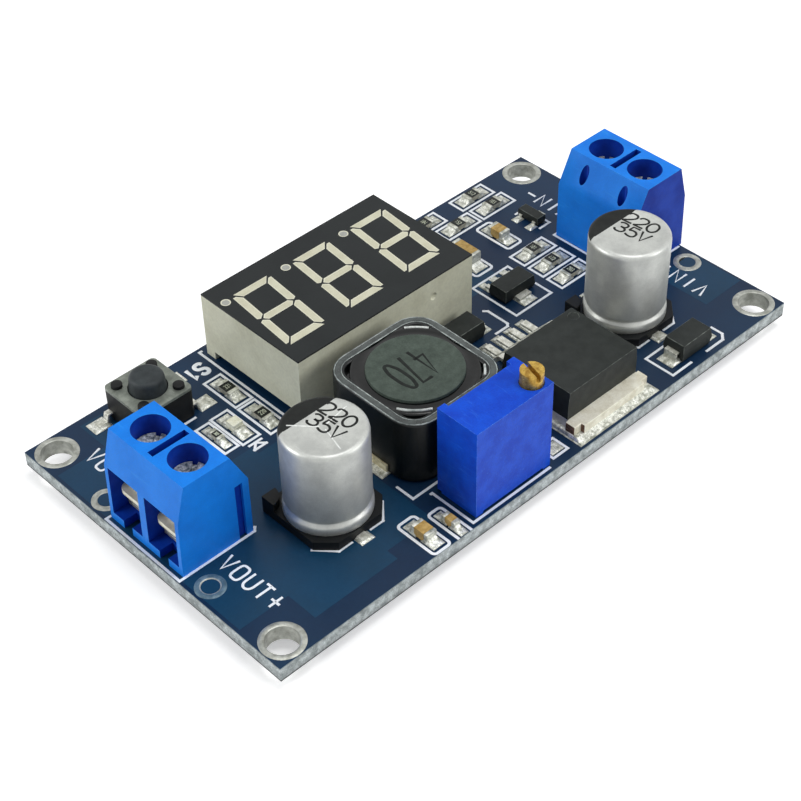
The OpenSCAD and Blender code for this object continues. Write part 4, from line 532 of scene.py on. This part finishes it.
def add_strokes(bm, strokes, start, right, up, line, lift=0.05):
    """Rounded lines, line mm wide, that stand lift mm proud. Strokes are in mm along right and up."""
    curve = bpy.data.curves.new("strokes", "CURVE")
    curve.dimensions = "3D"
    curve.bevel_depth = line / 2 * MM
    curve.bevel_resolution = 1
    curve.resolution_u = 4
    curve.use_fill_caps = True
    for bends, knots in strokes:
        closed = (Vector(knots[0]) - Vector(knots[-1])).length < 0.001
        if closed:
            knots = knots[:-1]
        spline = curve.splines.new("BEZIER")
        spline.bezier_points.add(len(knots) - 1)
        spline.use_cyclic_u = closed
        for point, (across, rise) in zip(spline.bezier_points, knots):
            point.co = (across * MM, rise * MM, 0)
            point.handle_left_type = point.handle_right_type = "AUTO" if bends else "VECTOR"
    drawn = bpy.data.objects.new("strokes", curve)
    scene.collection.objects.link(drawn)
    bpy.context.view_layer.update()
    mesh = bpy.data.meshes.new_from_object(drawn.evaluated_get(bpy.context.evaluated_depsgraph_get()))
    bpy.data.objects.remove(drawn)
    flat = bmesh.new()
    flat.from_mesh(mesh)
    bmesh.ops.scale(flat, verts=flat.verts, vec=(1, 1, 2 * lift / line))
    right, up = Vector(right), Vector(up)
    turn = Matrix((right, up, right.cross(up))).transposed()
    bmesh.ops.rotate(flat, verts=flat.verts, matrix=turn)
    bmesh.ops.translate(flat, verts=flat.verts, vec=Vector(start) * MM)
    flat.to_mesh(mesh)
    flat.free()
    bm.from_mesh(mesh)


def add_words(bm, words, start, right, up, size, pitch, line, lift=0.05):
    """Characters of the given size and pitch in mm, from the first one's lower left corner."""
    strokes = []
    for place, sign in enumerate(words):
        for bends, knots in STROKES[sign]:
            strokes.append((bends, [(place * pitch + across * size[0], rise * size[1])
                                    for across, rise in knots]))
    add_strokes(bm, strokes, start, right, up, line, lift)


# ---- board ----

def make_board():
    """The laminate: mask on its faces, sawn glass fibre at its rim, plating in its holes."""
    low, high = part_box("circuit_board")
    bm = merged("circuit_board")
    for face in bm.faces:
        spot = face.calc_center_median()
        at_rim = min(abs(spot.x - low[0]), abs(spot.x - high[0]),
                     abs(spot.y - low[1]), abs(spot.y - high[1])) < 0.01 * MM
        face.material_index = 0 if abs(face.normal.z) > 0.5 else 1 if at_rim else 2
    settle(bm, "board_laminate", [FINISH["board_mask"], LAMINATE_EDGE, FINISH["plating"]],
           stands_for=("circuit_board",), weighted=False)


def make_eyelets():
    """Tinned rings with rounded rims, each with its sleeve, the wire holes' sleeves in painted shade inside;
    one ring is dulled by solder mask.
    """
    low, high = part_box("circuit_board")
    thick = (high[2] - low[2]) / MM
    bm = bmesh.new()
    rings = [pair for pair in islands("hole_plating") if pair[1].z > high[2] - 0.01 * MM]
    for ring_low, ring_high in rings:
        outer = (ring_high.x - ring_low.x) / 2 / MM
        wire_hole = outer < 1.8
        hole = outer - (0.6 if wire_hole else 0.55)
        sleeve = 0.03 if wire_hole else 0.05
        centre = upright_axis(ring_low, ring_high)
        ring = spun([(hole, -0.02), (hole, thick + 0.02), (hole + 0.12, thick + 0.07),
                     (outer - 0.15, thick + 0.06), (outer, thick), (hole + sleeve, thick),
                     (hole + sleeve, 0), (outer, 0), (outer - 0.15, -0.05), (hole + 0.12, -0.05),
                     (hole, -0.02)], centre, 48)
        dull = wire_hole and centre.x > 0 and centre.y > 0
        for face in ring.faces:
            reach = (face.calc_center_median() - centre).xy.length / MM
            # the inner wall of a wire hole takes the painted shade
            if wire_hole and reach < hole + 0.01:
                face.material_index = 1
            elif dull and reach > hole + 0.2:
                face.material_index = 2
        part = bpy.data.meshes.new("ring")
        ring.to_mesh(part)
        ring.free()
        bm.from_mesh(part)
    settle(bm, "hole_eyelets", [FINISH["plating"], WIRE_HOLE_PAINTED_SHADE, DULL_RING], stands_for=("hole_plating",),
           weighted=False)


def make_print():
    """White lettering for the wire posts and the button, and the outlines with their ink spread."""
    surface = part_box("board_print")[0][2] / MM
    at_output, at_input = ((0, 1, 0), (-1, 0, 0)), ((0, -1, 0), (1, 0, 0))
    bm = bmesh.new()
    for words, x, y, (right, up) in (("VOUT+", 29.6, 5.5, at_output), ("VOUT-", 29.75, -13.5, at_output),
                                     ("VIN+", -29.95, 11.35, at_input), ("VIN-", -29.85, -7.1, at_input)):
        add_words(bm, words, (x, y, surface), right, up, size=(1.02, 1.75), pitch=1.56, line=0.27)
    add_words(bm, "S1", (13.75, -16.3, surface), *FLAT, size=(0.95, 1.7), pitch=1.25, line=0.44)
    settle(bm, "board_lettering", [FINISH["print_white"]], weighted=False)
    bm = merged("board_print")
    ink_spread = 0.035 * MM
    for vert in bm.verts:
        outward = Vector((vert.normal.x, vert.normal.y, 0))
        if outward.length > 0.2:
            vert.co += outward.normalized() * ink_spread
    # the outlines near the long edge end where the board does
    made = bmesh.ops.bisect_plane(bm, geom=bm.verts[:] + bm.edges[:] + bm.faces[:], dist=SAME_SPOT,
                                  plane_co=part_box("circuit_board")[1], plane_no=(0, 1, 0), clear_outer=True)
    cut = [item for item in made["geom_cut"] if isinstance(item, bmesh.types.BMEdge)]
    bmesh.ops.holes_fill(bm, edges=cut, sides=0)
    bmesh.ops.recalc_face_normals(bm, faces=bm.faces)
    settle(bm, "board_outlines", [FINISH["print_white"]], stands_for=("board_print",),
           weighted=False)


def make_copper_areas():
    """Copper under the mask shows as slightly raised, tealer areas. Corners in mm."""
    sunk, thick = 0.01 * MM, 0.018 * MM
    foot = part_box("circuit_board")[1][2] - sunk
    bm = bmesh.new()
    for x_low, x_high, y_low, y_high in (
            (27.5, 32.9, -13.3, 12.46), (17.95, 27.5, -3.6, 15.9), (12.4, 17.95, -2.6, 14.6),
            (24.2, 27.5, -17.2, -8), (-33, -27.6, 6.4, 12.7), (-16.5, -11.2, -8.4, -4.6)):
        low, high = Vector((x_low, y_low, 0)) * MM, Vector((x_high, y_high, 0)) * MM
        raise_slab(bm, add_plate(bm, high - low, upright_axis(low, high), foot), thick)
    bmesh.ops.recalc_face_normals(bm, faces=bm.faces)
    settle(bm, "copper_areas", [COPPER_UNDER_MASK], weighted=False)


# ---- solder ----

def metal_over_pads():
    """Every metal foot that stands on a pad, with how far solder climbs it, in mm."""
    feet = []
    for node, climb in (("chip_ends", 0.4), ("small_package_leads", 0.13), ("regulator_leads", 0.2),
                        ("capacitor_leads", 0.1), ("button_legs", 0.12), ("inductor_terminals", 0.12),
                        ("regulator_heat_tab", 0.3)):
        feet += [(low, high, climb) for low, high in islands(node)]
    return feet


def make_solder():
    """A meniscus on each pad: it thins towards the rim and climbs the metal that stands on it."""
    thin, reach, rounding = 0.05, 0.28, 0.18
    feet = metal_over_pads()
    display_low, display_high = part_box("display_shell")
    bm = bmesh.new()
    for low, high in islands("solder_pads"):
        centre = (low + high) / 2
        if display_low[0] < centre.x < display_high[0] and display_low[1] < centre.y < display_high[1]:
            continue
        size = high - low
        near = [foot for foot in feet if foot[0].x < high.x and foot[1].x > low.x
                and foot[0].y < high.y and foot[1].y > low.y]
        steps = [min(40, max(6, round(size[i] / MM / 0.14))) for i in (0, 1)]
        faces = add_plate(bm, size * 0.97, centre, high.z - 0.02 * MM, steps)
        for vert in raise_slab(bm, faces, 0.01 * MM):
            inside = min(vert.co.x - low.x, high.x - vert.co.x, vert.co.y - low.y, high.y - vert.co.y) / MM
            rise = thin + 0.03 * noise.noise(vert.co * 2200)
            for foot_low, foot_high, climb in near:
                away = Vector((max(foot_low.x - vert.co.x, 0, vert.co.x - foot_high.x),
                               max(foot_low.y - vert.co.y, 0, vert.co.y - foot_high.y))).length / MM
                rise = max(rise, thin + climb * exp(-away / reach))
            vert.co.z += rise * MM * min(1, max(0, inside) / rounding) ** 0.6
    bmesh.ops.recalc_face_normals(bm, faces=bm.faces)
    settle(bm, "solder_fillets", [FINISH["solder"]], crease=70, weighted=False)


# ---- chip parts ----

def make_chips():
    """Chip resistors with their codes, chip capacitors and the indicator lamp."""
    ease("chip_ends", 0.06)
    ease("chip_capacitors", 0.05)
    ease("indicator_lamp", 0.05)
    ease("chip_resistors", 0.03, finishes=[ALUMINA, FINISH["resistor_black"]],
         pick=lambda face: 1 if face.normal.z > 0.5 else 0)
    bm = bmesh.new()
    codes = ("103", "512", "101", "472", "203", "152", "104", "331", "220", "302")
    for code, (low, high) in zip(codes, islands("chip_resistors")):
        size = (high - low) / MM
        centre = (low + high) / 2 / MM
        right, up = ((0, 1, 0), (-1, 0, 0)) if size.y > size.x else ((-1, 0, 0), (0, -1, 0))
        long, wide = max(size.x, size.y), min(size.x, size.y)
        letter = (long * 0.13, wide * 0.42)
        pitch = long * 0.2
        back = Vector(right) * (pitch + letter[0] / 2) + Vector(up) * letter[1] / 2
        start = Vector((centre.x, centre.y, high.z / MM)) - back
        add_words(bm, code, start, right, up, letter, pitch, line=0.07, lift=0.012)
    settle(bm, "resistor_codes", [CODE_INK], weighted=False)


# ---- screw terminals ----

def make_terminals():
    """Both screw terminals: painted shade inside them, and a painted highlight along their outer edges."""
    for side in ("output", "input"):
        ease(side + "_terminal_housing", 0.08, edge_wear_and_highlight=TERMINAL_PAINTED_HIGHLIGHT, inner_painted_shade=TERMINAL_PAINTED_SHADE)
        ease(side + "_terminal_contacts", 0.05)
        for pole in "12":
            ease(side + "_clamp_" + pole, 0.05)
            ease(side + "_screw_" + pole, 0.08)


# ---- capacitors ----

def make_capacitor(side, scored):
    """A can with its crimp and its black segment. Gives the words and the vent score of its top."""
    can = side + "_capacitor_can"
    low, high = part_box(can)
    centre = upright_axis(low, high)
    rim = (high[0] - low[0]) / 2 / MM
    radius, foot, top = rim - 0.1, low[2] / MM, high[2] / MM
    groove = foot + 1.3
    bm = spun([
        (0, top - 0.05), (radius - 0.62, top - 0.05), (radius - 0.5, top), (radius - 0.33, top - 0.03),
        (radius - 0.15, top - 0.13), (radius - 0.04, top - 0.3), (radius, top - 0.55),
        (radius, groove + 0.42), (radius - 0.05, groove + 0.26), (radius - 0.19, groove + 0.1),
        (radius - 0.22, groove), (radius - 0.16, groove - 0.14), (radius + 0.02, groove - 0.28),
        (rim, groove - 0.46), (rim, foot + 0.12), (rim - 0.1, foot), (radius - 0.4, foot),
        (radius - 0.4, foot + 0.3), (0, foot + 0.3),
    ], centre, 96)
    edge_y = centre.y - 1.95 * MM
    geom = bm.verts[:] + bm.edges[:] + bm.faces[:]
    bmesh.ops.bisect_plane(bm, geom=geom, plane_co=(0, edge_y, 0), plane_no=(0, 1, 0))
    for face in bm.faces:
        spot = face.calc_center_median()
        face.material_index = int(spot.y < edge_y and spot.z > (top - 0.42) * MM)
    settle(bm, side + "_capacitor_shell", [FINISH["can_aluminium"], FINISH["mark_black"]],
           stands_for=(can,), weighted=False, crease=50)
    ease(side + "_capacitor_base", 0.08)
    words = bmesh.new()
    level = top - 0.05
    lean = radians(5)
    right, up = (-sin(lean), cos(lean), 0), (-cos(lean), -sin(lean), 0)
    for value, rise, half in (("220", 1.2, 1.83), ("35V", -0.55, 1.68)):
        start = centre / MM + Vector(up) * rise - Vector(right) * half
        add_words(words, value, (start.x, start.y, level), right, up, (1.08, 1.45), 1.28, 0.24, 0.03)
    scores = bmesh.new()
    if scored:
        arms = [(False, [(reach * cos(radians(angle)), reach * sin(radians(angle))) for reach in (0.35, 3.2)])
                for angle in (75, 190, 312)]
        add_strokes(scores, arms, (centre.x / MM, centre.y / MM, level), *FLAT, line=0.13, lift=0.016)
    return words, scores


def make_capacitors():
    """Both electrolytic capacitors; only the output one's top is scored to vent."""
    bm, scored_bm = bmesh.new(), bmesh.new()
    for side, scored in (("output", True), ("input", False)):
        for made, whole in zip(make_capacitor(side, scored), (bm, scored_bm)):
            layer = bpy.data.meshes.new("can_top")
            made.to_mesh(layer)
            made.free()
            whole.from_mesh(layer)
    settle(bm, "capacitor_values", [FINISH["mark_black"]], stands_for=("capacitor_marks",),
           weighted=False)
    settle(scored_bm, "capacitor_vent", [VENT_SCORE], weighted=False)
    ease("capacitor_leads", 0.04)


# ---- inductor ----

def rounded_square(half, corner, knots=7):
    """Knots of a square with round corners, counter-clockwise and closed."""
    path = []
    for turn in range(4):
        start = turn * 90
        centre = [(half - corner) * (1 if value > 0 else -1)
                  for value in (cos(radians(start + 45)), sin(radians(start + 45)))]
        path += arc(centre, (corner, corner), start, start + 90, knots)
    return path + path[:1]


def make_inductor():
    """Shield and core, the resin between them, the lacquer that pools on the shield's rim, and pale lips and
    beads that paint the highlights of the lacquer's edges and the resin's meniscus.
    """
    low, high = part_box("inductor_shield")
    half = (high[0] - low[0]) / 2 / MM
    ease("inductor_shield", 0.3, 3,
         choose=lambda edge: min(vert.co.z for vert in edge.verts) > high[2] - 0.01 * MM)
    core_low, core_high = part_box("inductor_core")
    centre = upright_axis(core_low, core_high)
    x, y = centre.x / MM, centre.y / MM
    ease("inductor_core", 0.12, 2)
    level, shield_level = core_high[2] / MM, high[2] / MM
    bm = spun([(4.3, level - 0.5), (4.58, level - 0.3), (4.8, level - 0.38), (5.2, level - 0.44),
               (5.55, shield_level - 0.12), (5.8, shield_level - 0.02), (6.0, shield_level - 0.12),
               (6.0, shield_level - 1.2), (4.3, shield_level - 1.2), (4.3, level - 0.5)], centre, 72)
    settle(bm, "inductor_resin", [RESIN], weighted=False, crease=80)
    bm = bmesh.new()
    bmesh.ops.create_cube(bm, size=1)
    pocket, depth = 10.3 * MM, 0.5 * MM
    bmesh.ops.scale(bm, verts=bm.verts, vec=(pocket, pocket, depth))
    uprights = [edge for edge in bm.edges if abs(edge.verts[0].co.z - edge.verts[1].co.z) > depth / 2]
    bevel(bm, uprights, 1.3, 6)
    bmesh.ops.translate(bm, verts=bm.verts, vec=(centre.x, centre.y, (shield_level - 0.95) * MM))
    settle(bm, "inductor_resin_corners", [RESIN], weighted=False)
    corner = 2.8
    # the lacquer band, and its pale lips that paint the highlights along the band's edges
    for name, inset, line, lift, finish in (("band", 0.48, 0.72, 0.05, LACQUER),
                                            ("outer_lip_highlight", 0.16, 0.13, 0.08, LACQUER_PAINTED_HIGHLIGHT),
                                            ("inner_lip_highlight", 0.8, 0.12, 0.07, LACQUER_PAINTED_HIGHLIGHT)):
        bm = bmesh.new()
        path = rounded_square(half - inset, corner - inset)
        add_strokes(bm, [(False, path)], (x, y, shield_level - 0.03), *FLAT, line=line, lift=lift)
        settle(bm, "lacquer_" + name, [finish], weighted=False, crease=80)
    # beads of resin at the gap, near-white to paint the glint on their meniscus
    bm = bmesh.new()
    for turn, spread, reach in ((45, 34, 5.42), (225, 22, 6.0), (135, 13, 6.3)):
        path = arc((0, 0), (reach, reach), turn - spread / 2, turn + spread / 2)
        add_strokes(bm, [(True, path)], (x, y, shield_level - 0.1), *FLAT, line=0.26, lift=0.16)
    settle(bm, "resin_painted_glints", [RESIN_PAINTED_GLINT], weighted=False, crease=80)
    bm = bmesh.new()
    add_words(bm, "470", (x - 1.7, y - 2.0, level), *FLAT, size=(1.15, 4.0), pitch=1.5, line=0.36,
              lift=0.02)
    settle(bm, "inductor_engraving", [ENGRAVING], weighted=False)
    ease("inductor_terminals", 0.05)


# ---- packages ----

def make_packages():
    """The regulator with its tab, whose sawn notches show copper, and the small black packages."""
    # the eased mould edges of this and the small packages take the lighter grey, a painted highlight
    ease("regulator_package", 0.06, edge_wear_and_highlight=MOULD_PAINTED_HIGHLIGHT)
    low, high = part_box("regulator_heat_tab")
    centre = upright_axis(low, high)
    reach = (high[0] - low[0]) / 2

    def is_sawn(face):
        spot = face.calc_center_median()
        at_end = spot.y > high[1] - 1.2 * MM and abs(spot.x - centre.x) > reach - 1.3 * MM
        return int(abs(face.normal.x) > 0.7 and at_end)

    ease("regulator_heat_tab", 0.08, finishes=[FINISH["tab_tin"], COPPER_CUT], pick=is_sawn)
    ease("regulator_leads", 0.07)
    for node in ("output_diode_package", "input_diode_package", "meter_regulator_package",
                 "transistor_package"):
        ease(node, 0.045, edge_wear_and_highlight=MOULD_PAINTED_HIGHLIGHT)
    ease("small_package_leads", 0.03)


# ---- display, button, trimmer ----

def make_display():
    """Shell and face, and the bars and points, each with a slightly lighter lip."""
    ease("display_shell", 0.08)
    ease("display_face", 0.03)
    bm = joined("display_bars")
    crowns = [face for face in bm.faces if face.normal.z > 0.9]
    points = {face for face in crowns if face.calc_area() < 1.2 * MM * MM}
    bmesh.ops.inset_individual(bm, faces=crowns, thickness=0.11 * MM, depth=-0.015 * MM)
    inner = set(crowns)
    for face in bm.faces:
        face.material_index = 1 if face in points else 0 if face in inner else 2
    settle(bm, "display_segments", [FINISH["display_cream"], POINT_GREY, BAR_LIP],
           stands_for=("display_bars",))


def make_button():
    """The mode button; its cap is one turned shape with a flange under the cover."""
    ease("button_base", 0.08)
    ease("button_cover", 0.06)
    ease("button_legs", 0.05)
    low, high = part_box("button_plunger")
    foot, top = low[2] / MM, high[2] / MM
    centre = upright_axis(low, high)
    flange = (high[0] - low[0]) / 2 / MM
    bm = spun([(0, foot), (1, foot), (1, foot + 0.3), (flange, foot + 0.3), (flange, foot + 0.62),
               (flange - 0.3, foot + 0.64), (flange - 0.46, top - 0.45), (flange - 0.52, top - 0.22),
               (flange - 0.68, top - 0.06), (flange - 0.9, top), (flange - 1.2, top - 0.02), (0, top - 0.04)],
              centre, 64)
    settle(bm, "button_cap", [FINISH["plunger_black"]], "button_plunger", ("button_plunger",),
           weighted=False, crease=60)


def make_trimmer():
    """The trimmer's housing, with wear and a painted highlight along its edges, and its adjusting screw."""
    ease("trimmer_housing", 0.1, edge_wear_and_highlight=TRIMMER_WEAR_AND_HIGHLIGHT)
    ease("trimmer_screw", 0.1)


make_board()
make_eyelets()
make_print()
make_copper_areas()
make_solder()
make_chips()
make_terminals()
make_capacitors()
make_inductor()
make_packages()
make_display()
make_button()
make_trimmer()
ease("underside_solder", 0.06)


# ---- camera, light and background ----

def make_camera():
    """A long lens from above the corner between the output end and the trimmer's side."""
    camera = bpy.data.cameras.new("camera")
    camera.lens = 82.477
    camera.sensor_width = 36
    camera.sensor_fit = "HORIZONTAL"
    camera.shift_x = 0.02769
    camera.shift_y = 0.00649
    camera.clip_start = 0.01
    view = bpy.data.objects.new("camera", camera)
    view.location = (0.09082996, 0.09558361, 0.11836798)
    view.rotation_euler = [radians(angle) for angle in (47.52498669, 1.56878549, 136.7406084)]
    scene.collection.objects.link(view)
    scene.camera = view


def add_lamp(name, place, size, power):
    """A round soft lamp that points at the middle of the board."""
    lamp = bpy.data.lights.new(name, "AREA")
    lamp.shape = "DISK"
    lamp.size = size
    lamp.energy = power
    holder = bpy.data.objects.new(name, lamp)
    holder.location = place
    holder.rotation_euler = (-Vector(place)).to_track_quat("-Z", "Y").to_euler()
    scene.collection.objects.link(holder)


def make_light():
    """Three soft lamps in a dim studio that looks white to the camera and in reflections."""
    add_lamp("top_lamp", (-0.05, 0.05, 0.36), size=0.2, power=0.55)
    add_lamp("left_lamp", (0.3, -0.18, 0.22), size=0.24, power=0.75)
    add_lamp("right_lamp", (-0.2, 0.3, 0.2), size=0.24, power=0.62)
    world = bpy.data.worlds.new("studio")
    world.use_nodes = True
    scene.world = world
    tree = world.node_tree
    soft = tree.nodes["Background"]
    soft.inputs["Color"].default_value = (0.92, 0.96, 1, 1)
    soft.inputs["Strength"].default_value = 0.2
    bright = add(tree, "ShaderNodeBackground", {"Color": (1, 1, 1, 1), "Strength": 1.0})
    path = add(tree, "ShaderNodeLightPath")
    clear = add(tree, "ShaderNodeMath", {0: path.outputs["Is Camera Ray"],
                                         1: path.outputs["Is Transmission Ray"]}, operation="MAXIMUM")
    seen = add(tree, "ShaderNodeMath", {0: clear.outputs[0], 1: path.outputs["Is Glossy Ray"]},
               operation="MAXIMUM")
    both = add(tree, "ShaderNodeMixShader", {0: seen.outputs[0], 1: soft.outputs[0], 2: bright.outputs[0]})
    tree.links.new(both.outputs[0], tree.nodes["World Output"].inputs["Surface"])


def make_floor():
    """A pale floor that looks almost white to the camera and still takes a shadow."""
    material = bpy.data.materials.new("studio_floor")
    material.use_nodes = True
    tree = material.node_tree
    shader = tree.nodes["Principled BSDF"]
    shader.inputs["Base Color"].default_value = (0.86, 0.86, 0.86, 1)
    shader.inputs["Roughness"].default_value = 0.9
    shader.inputs["Specular IOR Level"].default_value = 0.0
    path = add(tree, "ShaderNodeLightPath")
    seen = add(tree, "ShaderNodeMath", {0: path.outputs["Is Camera Ray"], 1: path.outputs["Is Glossy Ray"]},
               operation="MAXIMUM")
    glow = add(tree, "ShaderNodeEmission", {"Color": (1, 1, 1, 1), "Strength": 0.45})
    none = add(tree, "ShaderNodeEmission", {"Color": (1, 1, 1, 1), "Strength": 0.0})
    lift = add(tree, "ShaderNodeMixShader", {0: seen.outputs[0], 1: none.outputs[0], 2: glow.outputs[0]})
    total = add(tree, "ShaderNodeAddShader", {0: shader.outputs[0], 1: lift.outputs[0]})
    tree.links.new(total.outputs[0], tree.nodes["Material Output"].inputs["Surface"])
    bm = bmesh.new()
    half_width = 1.5
    bmesh.ops.create_grid(bm, x_segments=1, y_segments=1, size=half_width)
    bmesh.ops.translate(bm, verts=bm.verts, vec=(0, 0, cad_box[0][2]))
    mesh = bpy.data.meshes.new("studio_floor")
    bm.to_mesh(mesh)
    bm.free()
    mesh.materials.append(material)
    floor = bpy.data.objects.new("studio_floor", mesh)
    scene.collection.objects.link(floor)


make_camera()
make_light()
make_floor()
scene.view_settings.view_transform = "Standard"
